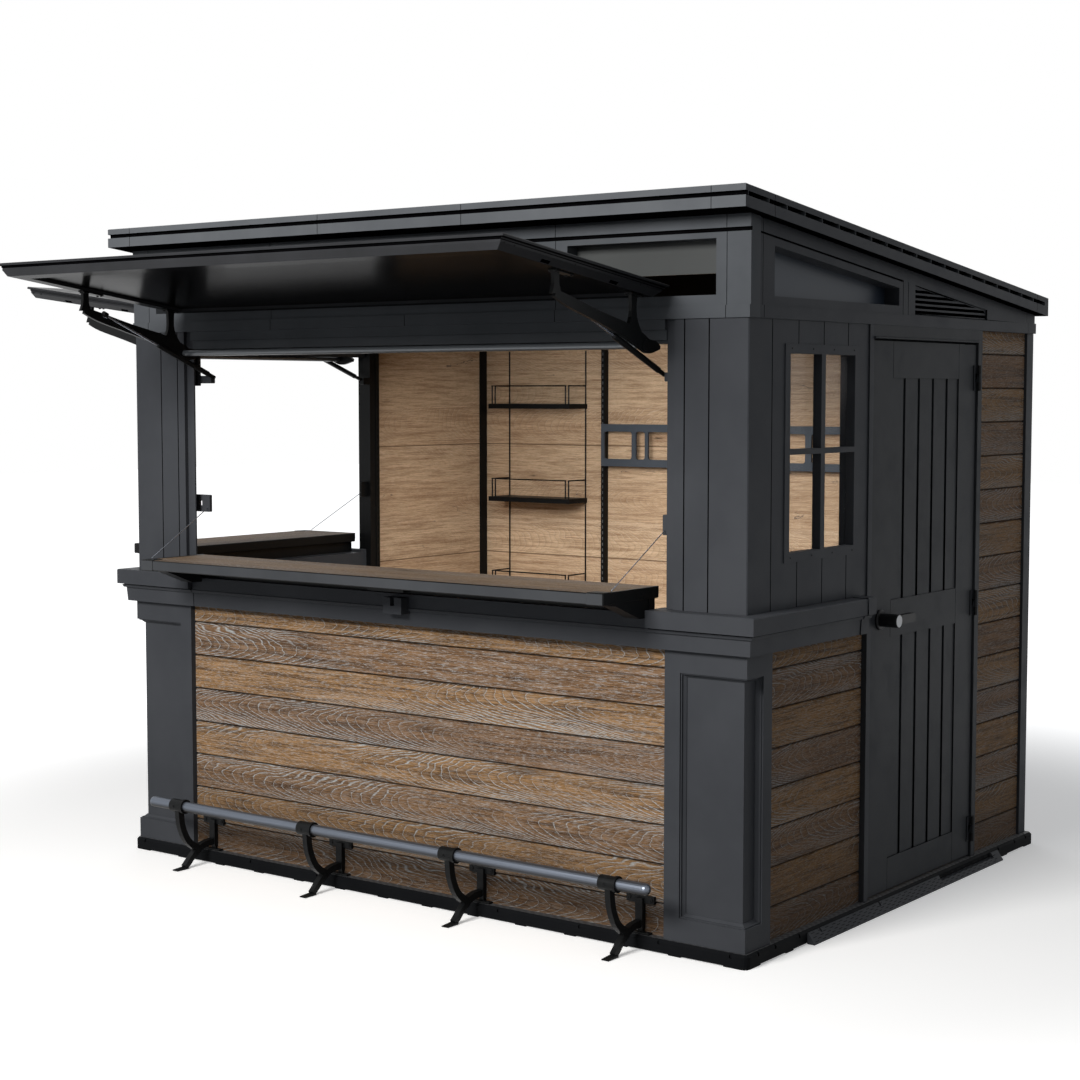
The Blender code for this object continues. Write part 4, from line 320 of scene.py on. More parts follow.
ramp_slots = scatter(ramp_slot, "threshold_ramp_slots", ramp_places, (0.0, ramp_lean, 0.0))
# Painted shadow: the slots are near-black all over.
slot_painted_shadow = moulded_resin("slot_shadow", tone(12, 12, 13), tone(16, 16, 17), 0.8, 0.1)
finish_piece(ramp_slots, "hut", "resin", slot_painted_shadow)


# ---- Board walls
# Six wall slabs between the posts, with limed brown oak boards outside and light oak boards
# inside. The boards lie flat, tongue to groove, and each has its own grain.
def timber(name, run, pitch, first, tones, lime, lime_share, contrast, seam, spacing=0.047):
    """Oak boards: arched grain with limed pores, straight fibre, dashes, streaks and knots.

    run says which way the boards lie, pitch and first where their joints are, tones are the
    cool, the warm and the dark tone, and spacing is the way from one grain arch to the next."""
    finish = Finish(name, 0.62, 0.0, 0.08)
    x, y, z = finish.axes()
    ahead, up = {"wall": (x + y, z), "front": (x, y), "left": (y, x)}[run]
    level = (up - first) / pitch
    board = finish.maths("FLOOR", level)
    across = level - board - 0.5
    luck = finish.node("TexWhiteNoise", {"noise_dimensions": "1D"}, {"W": board * 1.37 + 4.1})
    other = finish.node("TexWhiteNoise", {"noise_dimensions": "1D"}, {"W": board * 2.11 + 9.6})
    along = ahead * finish.maths("SIGN", other - 0.45) + luck * 9.0

    def grain(stretch, width, seed, detail=3.0, rough=0.6):
        return finish.noise(finish.vector(along * stretch, across * width, board * seed), 1.0,
                            detail, rough)

    drift = grain(1.3, 0.7, 3.7) - 0.5
    sway = grain(9.0, 2.6, 5.1) - 0.5
    fine = grain(55.0, 62.0, 7.3, 3.0)
    fibre = grain(10.0, 60.0, 1.9, 5.0, 0.7)
    streak = grain(3.2, 11.0, 2.9, 4.0)
    dashes = finish.fade(grain(46.0, 84.0, 4.3, 2.0), 0.54, 0.64)
    zone = finish.fade(grain(1.1, 0.4, 6.1, 1.0) + luck * 0.16, 0.49, 0.68)

    # Nested arches: a ring lies further along the board the further it is off the middle.
    arm = 22.0
    tip = across + drift * 0.9 + (other - 0.5) * 0.4
    arch = along / spacing + tip * tip * arm + sway * 0.7 + drift * 4.0
    steep = finish.maths("SQRT", tip * tip * (2.0 * arm / pitch) ** 2.0 + (1.0 / spacing) ** 2.0)
    saw = arch - finish.maths("FLOOR", arch)
    ring = finish.maths("ABSOLUTE", saw - 0.5) / steep
    broken = finish.fade(fine, 0.37, 0.56)
    line = finish.fade(ring, 0.0018, 0.0004) * broken * zone
    soft = finish.fade(saw, 0.98, 0.52) * finish.fade(saw, 0.44, 0.52)

    place = finish.node("TexVoronoi", None,
                        {"Vector": finish.vector(along * 1.25, across * 1.1 + board * 2.3, board),
                         "Scale": 1.0})
    knot = finish.fade(place + fine * 0.05, 0.075, 0.030)
    halo = finish.fade(place + streak * 0.10, 0.26, 0.06)

    cool_tone, warm_tone, dark_tone = tones
    parity = finish.maths("PINGPONG", board, 1.0)
    warm = finish.maths("MINIMUM", finish.maths("MAXIMUM", 0.75 - parity * 0.8 + luck * 0.35,
                                                0.0), 1.0)
    body = finish.blend(warm, cool_tone, warm_tone)
    for share, colour in (
            (finish.fade(streak, 0.42, 0.70) * contrast, dark_tone),
            (soft * zone * contrast * 0.45, dark_tone),
            (finish.fade(fibre, 0.47, 0.61) * contrast, dark_tone),
            (finish.fade(fibre, 0.44, 0.32) * lime_share * 0.35, lime),
            (finish.fade(fine, 0.50, 0.70) * contrast * 0.45, dark_tone),
            (dashes * (1.15 - zone * 0.4) * lime_share * 0.60, lime),
            (line * lime_share, lime),
            (halo * 0.40, dark_tone),
            (knot * 0.80, tone(34, 26, 20))):
        body = finish.blend(share, body, colour)
    if seam:
        edge = finish.fade(finish.maths("ABSOLUTE", across), 0.468, 0.498)
        body = finish.blend(edge * seam, body, tone(20, 14, 10))
        # Painted shade: the boards grow darker towards the ground.
        low_painted_shade = finish.fade(z + drift * 0.08, 0.42, 0.06)
        body = finish.blend(low_painted_shade * 0.55, body, tone(34, 24, 17))
    finish.set("Base Color", body)
    finish.set("Roughness", 0.58 + fine * 0.16)
    finish.bump(fine * 0.45 + fibre * 0.4 - line * 0.4 - dashes * 0.25 - knot * 0.5, 0.0014, 0.7)
    return finish, body, along, across, board


board_first = 0.147
board_pitch = 0.1228
brown_boards = timber(
    "brown_boards", "wall", board_pitch, board_first,
    tones=(tone(128, 99, 74), tone(158, 122, 82), tone(56, 39, 27)),
    lime=tone(184, 190, 192), lime_share=0.80, contrast=0.80, seam=0.9)[0].material

inner_first = 0.028
inner_pitch = 0.490
oak, oak_body, oak_along, oak_across, oak_board = timber(
    "light_boards", "wall", inner_pitch / 3.0, inner_first,
    tones=(tone(206, 176, 144), tone(218, 190, 158), tone(136, 102, 74)),
    lime=tone(236, 218, 196), lime_share=0.40, contrast=0.60, seam=0.0, spacing=0.034)
split = oak.noise(oak.vector(oak_along * 2.1, oak_across * 1.5 + oak_board * 4.7, 2.0), 1.0, 4.0,
                  0.55)
split_zone = oak.fade(oak.noise(oak.vector(oak_along * 3.1, oak_across * 2.0, oak_board * 8.3),
                                1.0, 1.0), 0.65, 0.69)
split_line = oak.fade(oak.maths("ABSOLUTE", split - 0.5), 0.007, 0.0015) * split_zone
oak_body = oak.blend(split_line * 0.7, oak_body, tone(58, 58, 64))
joint_level = oak.axes()[2] / inner_pitch - inner_first / inner_pitch + 0.5
joint_off = oak.maths("ABSOLUTE", joint_level - oak.maths("FLOOR", joint_level) - 0.5)
joint_line = oak.fade(joint_off, 0.0075, 0.0025)
oak.set("Base Color", oak.blend(joint_line * 0.75, oak_body, tone(84, 60, 40)))
light_boards = oak.material
wall_edge = moulded_resin("wall_edge", tone(20, 20, 21), tone(26, 26, 27), 0.7)


def pick_points(piece, test):
    """Select the points that pass a test, and go on in edit mode."""
    edit(piece, "VERT")
    for point in piece.data.vertices:
        point.select = test(point.co)
    bpy.ops.object.mode_set(mode="EDIT")


def slice_piece(piece, axis, places):
    """Cut new edges round a piece where planes across an axis meet it."""
    edit(piece)
    bpy.ops.object.mode_set(mode="EDIT")
    normal = [0.0, 0.0, 0.0]
    normal[axis] = 1.0
    for place in places:
        point = [0.0, 0.0, 0.0]
        point[axis] = place
        bpy.ops.mesh.select_all(action="SELECT")
        bpy.ops.mesh.bisect(plane_co=point, plane_no=normal)
    bpy.ops.object.mode_set(mode="OBJECT")


groove_half = 0.0048
groove_deep = 0.0085
joint_half = 0.0011
joint_deep = 0.0016
joint_top_gap = 0.02
joint_groove_gap = 0.012


def board_wall(node, axis, outwards):
    """A wall slab with V grooves between its outer boards and fine joints inside."""
    low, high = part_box(node)
    wall = block(node + "_boards", low, high)
    outer_seams = []
    seam = board_first
    while seam < high.z - groove_half * 2.0:
        if seam > low.z + groove_half * 2.0:
            outer_seams.append(seam)
        seam += board_pitch
    inner_seams = []
    seam = inner_first + inner_pitch
    while seam < high.z - joint_top_gap:
        if min(abs(seam - other) for other in outer_seams) > joint_groove_gap:
            inner_seams.append(seam)
        seam += inner_pitch
    cuts = []
    for seams, half in ((outer_seams, groove_half), (inner_seams, joint_half)):
        for seam in seams:
            cuts += [seam - half, seam, seam + half]
    slice_piece(wall, 2, cuts)
    outer_face = high[axis] if outwards > 0 else low[axis]
    inner_face = low[axis] if outwards > 0 else high[axis]
    for seams, face, depth in ((outer_seams, outer_face, -outwards * groove_deep),
                               (inner_seams, inner_face, outwards * joint_deep)):
        pick_points(wall, lambda point: abs(point[axis] - face) < 0.0005
                    and any(abs(point.z - seam) < 0.0003 for seam in seams))
        push = [0.0, 0.0, 0.0]
        push[axis] = depth
        bpy.ops.transform.translate(value=push)
    finish_piece(wall, "hut", "boards", brown_boards, light_boards, wall_edge)
    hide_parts(node)
    for face in wall.data.polygons:
        if abs(face.center[axis] - inner_face) < 0.003:
            face.material_index = 1
        elif abs(face.center[axis] - outer_face) < groove_deep:
            face.material_index = 0
        else:
            face.material_index = 2


for wall_node, wall_axis, wall_way in (
        ("front_wood_panel", 1, -1), ("back_wood_panel", 1, 1), ("left_front_wood_panel", 0, -1),
        ("left_rear_wood_panel", 0, -1), ("right_front_wood_panel", 0, 1),
        ("right_rear_wood_panel", 0, 1)):
    board_wall(wall_node, wall_axis, wall_way)


# ---- Corner blocks, belt and caps
# Resin casings round the lower corners and the moulded belt with its thick caps above them.
# They slide over the frame and are fixed from inside, so no screws show.
for resin_node in ("front_right_block", "front_left_block", "counter_belt"):
    dress(resin_node, dark_resin)
    # Painted shade on the faces deep in their seams and grooves.
    paint_groove_shade(resin_node)


# ---- Upper walls and posts
# Hollow resin boards with open seams, stood between the belt and the band under the roof.
# The rear jamb of the left opening is a slotted black metal post, like the standards inside.
black_metal = Finish("black_metal", 0.38, 0.0, 0.10)
speckle = black_metal.noise(black_metal.point, 900.0, 2.0)
black_wear = black_metal.fade(black_metal.noise(black_metal.point, 30.0, 4.0, 0.7), 0.55, 0.8)
black_metal.set("Base Color", black_metal.blend(black_wear * 0.5, tone(17, 18, 19),
                                                tone(36, 37, 39)))
black_metal.set("Roughness", 0.34 + speckle * 0.14)
black_metal.bump(speckle, 0.0003, 0.4)
for resin_node in ("right_upper_wall", "left_upper_post", "right_rear_post"):
    dress(resin_node, dark_resin)
    # Painted shade on the faces deep in their seams and grooves.
    paint_groove_shade(resin_node, 0.34)
dress("left_jamb_post", black_metal.material)
left_rear_mesh = dress("left_rear_post", dark_resin, black_metal.material)
repaint(left_rear_mesh, 1, lambda middle, normal: normal.x > 0.9 or normal.y < -0.9)


def soften(piece, width):
    """Round the sharp edges of a piece for good."""
    begin()
    piece.select_set(True)
    bpy.context.view_layer.objects.active = piece
    rounding = piece.modifiers.new("edges", "BEVEL")
    rounding.width = width
    rounding.segments = 2
    rounding.limit_method = "ANGLE"
    rounding.angle_limit = math.radians(35.0)
    bpy.ops.object.modifier_apply(modifier=rounding.name)
    bpy.ops.object.shade_smooth_by_angle(angle=math.radians(40.0))


rack_step = 0.025
rack_slot_half = 0.0065
rack_slot_round = 0.0008
jamb_slot_count = 60
jamb_slot_from = 0.30
jamb_slot_inset = 0.011
jamb_low, jamb_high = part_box("left_jamb_post")
jamb_slot = block("jamb_slot", (-0.0006, -0.0022, -rack_slot_half),
                  (0.0003, 0.0022, rack_slot_half))
soften(jamb_slot, rack_slot_round)
jamb_slots = scatter(jamb_slot, "left_jamb_post_slots",
                     [(jamb_high.x, jamb_high.y - jamb_slot_inset,
                       jamb_low.z + jamb_slot_from + rack_step * index)
                      for index in range(jamb_slot_count)])
# Painted shadow: the jamb's slots are near-black all over.
finish_piece(jamb_slots, "hut", "black_metal", slot_painted_shadow)


# ---- Side window
# A resin frame with a cross of glazing bars and one clear pane in a pocket behind them.
# Four small black screws hold it along the top and four along the bottom.
window_low, window_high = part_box("side_window_frame")
pale_from = window_low.z + 0.30
pale_full = window_high.z - 0.10
dress("side_window_frame", dark_resin)
# Painted shade on the faces deep in the frame's grooves.
paint_groove_shade("side_window_frame")
clear_pane = Finish("clear_pane", 0.03, 0.0, 0.1)
pane_dust = clear_pane.fade(clear_pane.noise(clear_pane.point, 6.0, 5.0, 0.7), 0.45, 0.9)
# The pane is paler and less clear towards the top.
pane_pale_top = clear_pane.fade(clear_pane.axes()[2], pale_from, pale_full)
clear_pane.set("Base Color", clear_pane.blend(pane_pale_top, tone(70, 76, 82), tone(138, 134, 134)))
clear_pane.set("Roughness", 0.03 + pane_dust * 0.08)
clear_pane.set("Alpha", 0.08 + pane_pale_top * 0.30 + pane_dust * 0.05)
dress("side_window_glass", clear_pane.material)

black_screw = Finish("black_screw", 0.4, 0.0, 0.10)
black_scratch = black_screw.noise(black_screw.point, 1200.0, 3.0)
black_screw.set("Base Color", black_screw.blend(black_scratch, tone(10, 10, 11),
                                                tone(26, 27, 28)))
black_screw.set("Roughness", 0.32 + black_scratch * 0.2)


def screw_head(radius, height):
    """A pan head screw that points up +Z, with a sloped rim and a round recess."""
    begin()
    bpy.ops.mesh.primitive_cylinder_add(vertices=16, radius=radius, depth=height,
                                        location=(0.0, 0.0, height / 2.0))
    screw = bpy.context.active_object
    bpy.ops.object.transform_apply(location=True, rotation=True, scale=True)
    pick_faces(screw, lambda middle, normal: normal.z > 0.9)
    bpy.ops.mesh.inset(thickness=radius * 0.28, depth=height * 0.25)
    bpy.ops.mesh.inset(thickness=radius * 0.30, depth=0.0)
    bpy.ops.mesh.inset(thickness=radius * 0.10, depth=-height * 0.55)
    begin()
    screw.select_set(True)
    bpy.context.view_layer.objects.active = screw
    bpy.ops.object.shade_smooth_by_angle(angle=math.radians(35.0))
    return screw


quarter = math.radians(90.0)
facing = {"front": (quarter, 0.0, 0.0), "rear": (-quarter, 0.0, 0.0),
          "right": (0.0, quarter, 0.0), "left": (0.0, -quarter, 0.0),
          "up": (0.0, 0.0, 0.0), "down": (2.0 * quarter, 0.0, 0.0)}


def screws(name, places, way, radius, height):
    """A group of screw heads that face one way, joined into one piece on the hut."""
    group = scatter(screw_head(radius, height), name, places, facing[way])
    finish_piece(group, "hut", "black_metal", black_screw.material)


window_margin = 0.014
window_shares = (0.08, 0.36, 0.64, 0.92)
window_span = window_high.y - window_low.y
screws("side_window_screws",
       [(window_high.x, window_low.y + window_span * share, level)
        for level in (window_high.z - window_margin, window_low.z + window_margin)
        for share in window_shares], "right", 0.0030, 0.0012)


# ---- Side door
# A resin door in its jambs, on three black hinges with three screws each.
# A round rose carries the lever handle, and the neck of the handle ends in a pale disc.
door_resin = moulded_resin("door_resin", tone(45, 47, 50), tone(53, 55, 58), 0.46)
for resin_node in ("door_jamb_front", "door_jamb_rear", "door_head", "door_leaf"):
    door_mesh = dress(resin_node, door_resin, dark_resin)
    # Painted highlight: the front jamb's faces that look out to the side get the lighter dark
    # resin.
    if resin_node == "door_jamb_front":
        repaint(door_mesh, 1, lambda middle, normal: normal.x > 0.9)
    # Painted shade on the faces deep in their seams and grooves.
    paint_groove_shade(resin_node, 0.34)

pale_cap = Finish("pale_cap", 0.3, 0.0, 0.5)
cap_mist = pale_cap.noise(pale_cap.point, 90.0, 3.0)
pale_cap.set("Base Color", pale_cap.blend(cap_mist, tone(206, 208, 210), tone(226, 227, 228)))
pale_cap.set("Roughness", 0.26 + cap_mist * 0.1)
handle_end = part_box("door_handle")[1].x
handle_mesh = dress("door_handle", black_metal.material, pale_cap.material)
repaint(handle_mesh, 1, lambda middle, normal: normal.x > 0.9 and middle.x > handle_end - 0.001)

hinge_leaf = 0.0029
hinge_screw_inset = 0.0065
hinge_screw_step = 0.032
jamb_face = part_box("door_jamb_rear")[1].x
hinge_screw_places = []
for hinge_node in ("door_hinge_low", "door_hinge_middle", "door_hinge_high"):
    dress(hinge_node, black_metal.material)
    hinge_low, hinge_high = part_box(hinge_node)
    middle = (hinge_low.z + hinge_high.z) / 2.0
    for step in (-hinge_screw_step, 0.0, hinge_screw_step):
        hinge_screw_places.append((jamb_face + hinge_leaf, hinge_high.y - hinge_screw_inset,
                                   middle + step))
screws("hinge_screws", hinge_screw_places, "right", 0.0028, 0.0012)


# ---- Walls under the roof
# Front and side walls above the band, with low windows and a slatted vent on each side.
# The front frieze and the headers are painted a lighter grey than the gables and the back, as
# painted light; the gables and the back are dark resin.
# Painted light: the front frieze and the headers get a lighter copy of the dark resin.
grey_resin = moulded_resin("grey_resin", tone(68, 71, 75), tone(78, 81, 85), 0.44)
for resin_node in ("front_header", "left_header", "front_frieze"):
    dress(resin_node, grey_resin)
    # Painted shade on the faces deep in their seams and grooves.
    paint_groove_shade(resin_node, 0.38)
for resin_node in ("right_gable", "left_gable", "back_header"):
    dress(resin_node, dark_resin)
    # Painted shade on the faces deep in their seams and grooves.
    paint_groove_shade(resin_node, 0.38)
# Painted shade: the headers' undersides get the near-black groove shade.
for resin_node in ("front_header", "left_header"):
    repaint(nodes[resin_node].data, 1, lambda middle, normal: normal.z < -0.9)
# Painted shade: the faces of the frieze's long groove get the near-black groove shade.
frieze_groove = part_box("front_frieze")[0].y + 0.0115
repaint(nodes["front_frieze"].data, 1, lambda middle, normal: normal.y < -0.9
        and abs(middle.y - frieze_groove) < 0.0015)
for pane_nodes, pane_name, pane_deep, pane_light in (
        (("front_high_panes",), "strip_pane", (58, 60, 60), (70, 72, 72)),
        (("right_gable_pane", "left_gable_pane"), "dusk_pane", (44, 52, 62), (56, 64, 76))):
    low_pane = Finish(pane_name, 0.35, 0.0, 0.15)
    pane_cloud = low_pane.noise(low_pane.point, 3.0, 3.0)
    low_pane.set("Base Color", low_pane.blend(pane_cloud, tone(*pane_deep), tone(*pane_light)))
    low_pane.set("Roughness", 0.30 + pane_cloud * 0.1)
    for pane_node in pane_nodes:
        dress(pane_node, low_pane.material)


# ---- Roof
# A pent roof of ribbed resin sheets in a grey edge trim with a long groove.
# The trim covers the sheets' screws, and the ceiling below the sheets is painted near-black and
# without sheen, as painted shade.
# Painted shade: the ceiling is near-black and without sheen.
ceiling_painted_shade = moulded_resin("ceiling_painted_shade", tone(15, 15, 16), tone(19, 19, 20), 0.9, 0.0)
trim_resin = moulded_resin("trim_resin", tone(81, 84, 88), tone(93, 96, 100), 0.42)
roof_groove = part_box("roof")[0].y + 0.0125
roof_mesh = dress("roof", trim_resin, ceiling_painted_shade, dark_resin)
repaint(roof_mesh, 1, lambda middle, normal: normal.z < -0.8)
# Painted shade: the trim's sides get the darker resin, where less light falls.
repaint(roof_mesh, 2, lambda middle, normal: abs(normal.x) > 0.8)
# Painted shade on the faces deep in the roof's seams and grooves.
paint_groove_shade("roof", 0.45, 0.02)
# Painted shade: the faces of the trim's long groove get the near-black groove shade.
repaint(roof_mesh, 3, lambda middle, normal: normal.y < -0.9
        and abs(middle.y - roof_groove) < 0.0035)


# ---- Serving hatches
# Top-hung hatches with a moulded rim and a sunk glossy underside, bolted to curved black arms.
# A steel tube joins the arms, and a gas strut with a bright rod holds up each side.
gloss_black = Finish("gloss_black", 0.16, 0.0, 0.004)
# Painted sheen: lighter cloudy patches on the underside stand in for its gloss, and the shader's
# own gloss is nearly off; the same noise also varies the roughness.
painted_sheen_and_roughness = gloss_black.noise(gloss_black.point, 4.0, 4.0, 0.6)
gloss_black.set("Base Color", gloss_black.blend(painted_sheen_and_roughness, tone(8, 8, 9), tone(13, 13, 14)))
gloss_black.set("Roughness", 0.16 + painted_sheen_and_roughness * 0.05)
satin_black = moulded_resin("satin_black", tone(34, 35, 37), tone(44, 45, 48), 0.36, 0.08)
tube_steel = Finish("tube_steel", 0.3, 0.2, 0.4)
tube_grain = tube_steel.noise(tube_steel.point, 400.0, 2.0)
tube_steel.set("Base Color", tube_steel.blend(tube_grain, tone(74, 78, 82), tone(92, 96, 100)))
tube_steel.set("Roughness", 0.28 + tube_grain * 0.1)

hatch_tilt = math.radians(7.4)
hinge_out = 0.043
arm_plate = 0.05
bolt_lines = (0.0045, 0.0235)
bolt_outs = (0.081, 0.127, 0.431, 0.505)
bolt_drop = 0.0033
rim_screw_outs = (0.090, 0.420, 0.705, 0.750)
rim_screw_up = 0.020
rim_step = 0.0133
rib_painted_shade_band = (0.0175, 0.0085)
arm_bolts = []
rim_screws = {"right": [], "left": [], "front": [], "rear": []}
for hatch_node, arm_node, run_axis in (("front_hatch", "front_hatch_arms", 0),
                                       ("left_hatch", "left_hatch_arms", 1)):
    out_axis = 1 - run_axis
    hatch_low, hatch_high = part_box(hatch_node)
    hatch_mesh = dress(hatch_node, satin_black, gloss_black.material)
    repaint(hatch_mesh, 1, lambda middle, normal: normal.z < -0.8)
    # Painted shade on the faces deep in the hatch's seams and grooves.
    paint_groove_shade(hatch_node, 0.45)
    # Painted shade: the steps of the rim's ribs on the outer face get the near-black groove
    # shade.
    repaint(hatch_mesh, 2, lambda middle, normal: abs(normal.z) < 0.95
            and normal[out_axis] < -0.3
            and hatch_high.z - rib_painted_shade_band[0] < middle.z < hatch_high.z - rib_painted_shade_band[1])
    arms_low, arms_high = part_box(arm_node)
    arm_mesh = dress(arm_node, black_metal.material, tube_steel.material)
    repaint(arm_mesh, 1, lambda middle, normal: arms_low[run_axis] + arm_plate
            < middle[run_axis] < arms_high[run_axis] - arm_plate)

    edge = base_low[out_axis]
    for end, inward in ((arms_low[run_axis], 1.0), (arms_high[run_axis], -1.0)):
        for line in bolt_lines:
            for out in bolt_outs:
                spot = [0.0, 0.0, hatch_low.z - bolt_drop
                        + (out - hinge_out) * math.tan(hatch_tilt)]
                spot[run_axis] = end + inward * line
                spot[out_axis] = edge - out
                arm_bolts.append(tuple(spot))
    for end, inward, way in ((hatch_low[run_axis], 1.0, ("left", "front")[run_axis]),
                             (hatch_high[run_axis], -1.0, ("right", "rear")[run_axis])):
        for out in rim_screw_outs:
            spot = [0.0, 0.0, hatch_low.z + out * math.sin(hatch_tilt) + rim_screw_up]
            spot[run_axis] = end + inward * rim_step
            spot[out_axis] = edge - hinge_out - out * math.cos(hatch_tilt)
            rim_screws[way].append(tuple(spot))
screws("hatch_arm_bolts", arm_bolts, "down", 0.0042, 0.0030)
for way, places in rim_screws.items():
    screws("hatch_rim_screws_" + way, places, way, 0.0036, 0.0012)

strut_rod = Finish("strut_rod", 0.22, 0.85)
rod_shine = strut_rod.noise(strut_rod.point, 300.0, 2.0)
strut_rod.set("Base Color", strut_rod.blend(rod_shine, tone(146, 152, 164), tone(178, 184, 196)))
strut_rod.set("Roughness", 0.18 + rod_shine * 0.1)
rod_from = 0.56
rod_eye = 0.022
for strut_node in ("front_left_strut", "front_right_strut", "left_front_strut",
                   "left_rear_strut"):
    strut_low, strut_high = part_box(strut_node)
    rod_low = strut_low.z + (strut_high.z - strut_low.z) * rod_from
    strut_mesh = dress(strut_node, black_metal.material, strut_rod.material)
    repaint(strut_mesh, 1, lambda middle, normal: rod_low < middle.z < strut_high.z - rod_eye)


# ---- Counters
# Fold-down shelves with a limed wood top, a grey front edge, end covers and black side plates.
# Screws through the end covers hold the top, and two more hold the hinge at the wall.
counter_board = 0.155
counter_first = -1.265
cover_thick = 0.0015
face_slack = 0.0003
counter_grey = moulded_resin("counter_grey", tone(58, 60, 63), tone(66, 68, 71), 0.42)
cover_screws = ((0.2476, 0.0204), (0.2113, 0.0204), (0.05, 0.018), (0.0, 0.018))
end_screws = {"right": [], "left": [], "front": [], "rear": []}
for counter_run, run_axis in (("front", 0), ("left", 1)):
    out_axis = 1 - run_axis
    counter_low, counter_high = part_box(counter_run + "_counter")
    counter_wood = timber(
        "counter_wood_" + counter_run, counter_run, counter_board, counter_first,
        tones=(tone(118, 100, 84), tone(132, 110, 86), tone(72, 55, 42)),
        lime=tone(170, 170, 168), lime_share=0.5, contrast=0.6, seam=0.0)[0].material
    counter_mesh = dress(counter_run + "_counter", black_metal.material, counter_wood,
                         counter_grey)
    top_z = counter_high.z - cover_thick
    front_face = counter_low[out_axis] + cover_thick
    repaint(counter_mesh, 1, lambda middle, normal: normal.z > 0.9
            and abs(middle.z - top_z) < face_slack)
    repaint(counter_mesh, 2, lambda middle, normal: normal[out_axis] < -0.9
            and middle[out_axis] < front_face + 0.001)
    edge = base_low[out_axis]
    for end, way in ((counter_low[run_axis] + cover_thick, ("left", "front")[run_axis]),
                     (counter_high[run_axis] - cover_thick, ("right", "rear")[run_axis])):
        for out, down in cover_screws:
            spot = [0.0, 0.0, counter_high.z - down]
            spot[run_axis] = end
            spot[out_axis] = edge - out
            end_screws[way].append(tuple(spot))
for way, places in end_screws.items():
    screws("counter_end_screws_" + way, places, way, 0.0048, 0.0010)


# ---- Wire stays
# Each counter hangs on two taut steel wires that run up to the tabs behind the posts.
# They are plain drawn wire, pinned at both ends, as bright as the rods of the struts.
for stay_node in ("front_left_stay", "front_right_stay", "left_front_stay", "left_rear_stay"):
    dress(stay_node, strut_rod.material)


# ---- Foot rail
# A bright steel tube with domed ends, clamped in four black cast brackets.
# Each bracket has one clamp screw, two screws in its lugs and two in its tab on the base.
rail_low, rail_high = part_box("foot_rail")
rail_middle = (rail_low + rail_high) / 2.0
rail_steel = Finish("rail_steel", 0.3, 0.85)
brushed = rail_steel.noise(rail_steel.node("Mapping", None, {"Vector": rail_steel.point,
                                                             "Scale": (3.0, 240.0, 240.0)}),
                           1.0, 3.0, 0.6)
# Painted light: the rail is coloured bright on its top and dark underneath.
rail_lit = rail_steel.fade(rail_steel.axes()[2], rail_low.z + 0.006, rail_high.z - 0.014)
rail_bright = rail_steel.blend(brushed, tone(84, 90, 99), tone(112, 118, 129))
rail_steel.set("Base Color", rail_steel.blend(rail_lit, tone(40, 39, 40), rail_bright))
rail_steel.set("Roughness", 0.30 + brushed * 0.16)
dress("foot_rail", rail_steel.material)
clamp_side = 0.010
clamp_out = 0.0233
lug_step = 0.041
lug_face = base_low.y + 0.0248
lug_z = 0.154
tab_step = 0.030
tab_y = base_low.y + 0.024
tab_top = base_high.z + 0.0062
clamp_screws = []
lug_screws = []
tab_screws = []
for bracket_node in ("rail_bracket_1", "rail_bracket_2", "rail_bracket_3", "rail_bracket_4"):
    dress(bracket_node, black_metal.material)
    bracket_low, bracket_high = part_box(bracket_node)
    middle = (bracket_low.x + bracket_high.x) / 2.0
    clamp_screws.append((middle - clamp_side, rail_middle.y - clamp_out, rail_middle.z))
    for side in (-1.0, 1.0):
        lug_screws.append((middle + side * lug_step, lug_face, lug_z))
        tab_screws.append((middle + side * tab_step, tab_y, tab_top))
screws("rail_clamp_screws", clamp_screws, "front", 0.0052, 0.0016)
screws("rail_lug_screws", lug_screws, "front", 0.0068, 0.0024)
screws("rail_tab_screws", tab_screws, "up", 0.0048, 0.0018)


# ---- Shelves, rack and standards
# Black wire shelves hung on the back wall, and a resin bottle rack on slotted standards.
# The standards are folded steel strips screwed to the oak, slotted every 25 mm for brackets.
for metal_node in ("wire_shelf", "wall_standard_left", "wall_standard_right"):
    dress(metal_node, black_metal.material)
slot_grey = moulded_resin("slot_grey", tone(70, 72, 74), tone(92, 94, 96), 0.6, 0.2)
standard_slot_count = 64
standard_slot_from = 0.020
standard_slot = block("standard_slot", (-0.0024, -0.0003, -rack_slot_half),
                      (0.0024, 0.0006, rack_slot_half))
soften(standard_slot, rack_slot_round)
standard_places = []
for standard_node in ("wall_standard_left", "wall_standard_right"):
    standard_low, standard_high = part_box(standard_node)
    middle = (standard_low.x + standard_high.x) / 2.0
    standard_places += [(middle, standard_low.y,
                         standard_low.z + standard_slot_from + rack_step * index)
                        for index in range(standard_slot_count)]
standard_slots = scatter(standard_slot, "wall_standard_slots", standard_places)
finish_piece(standard_slots, "hut", "black_metal", slot_grey)
rack_resin = moulded_resin("rack_resin", tone(70, 76, 84), tone(84, 90, 98), 0.4)
dress("bottle_rack", rack_resin)


# ---- Floor, light and camera
# A plain pale floor, a white surround and large soft lamps; the camera stands as the photo's.
# The surround is white to the eye, in reflections and through panes, and lights only weakly.
def plain_sight(finish):
    """1 for a ray that comes from the camera, from a reflection or through a pane."""
    path = finish.tree.nodes.new("ShaderNodeLightPath")
    straight, glossy, through = [Value(finish, path.outputs["Is " + ray + " Ray"])
                                 for ray in ("Camera", "Glossy", "Transmission")]
    return finish.maths("MAXIMUM", straight, finish.maths("MAXIMUM", glossy, through))


def grey(level):
    return (level, level, level, 1.0)


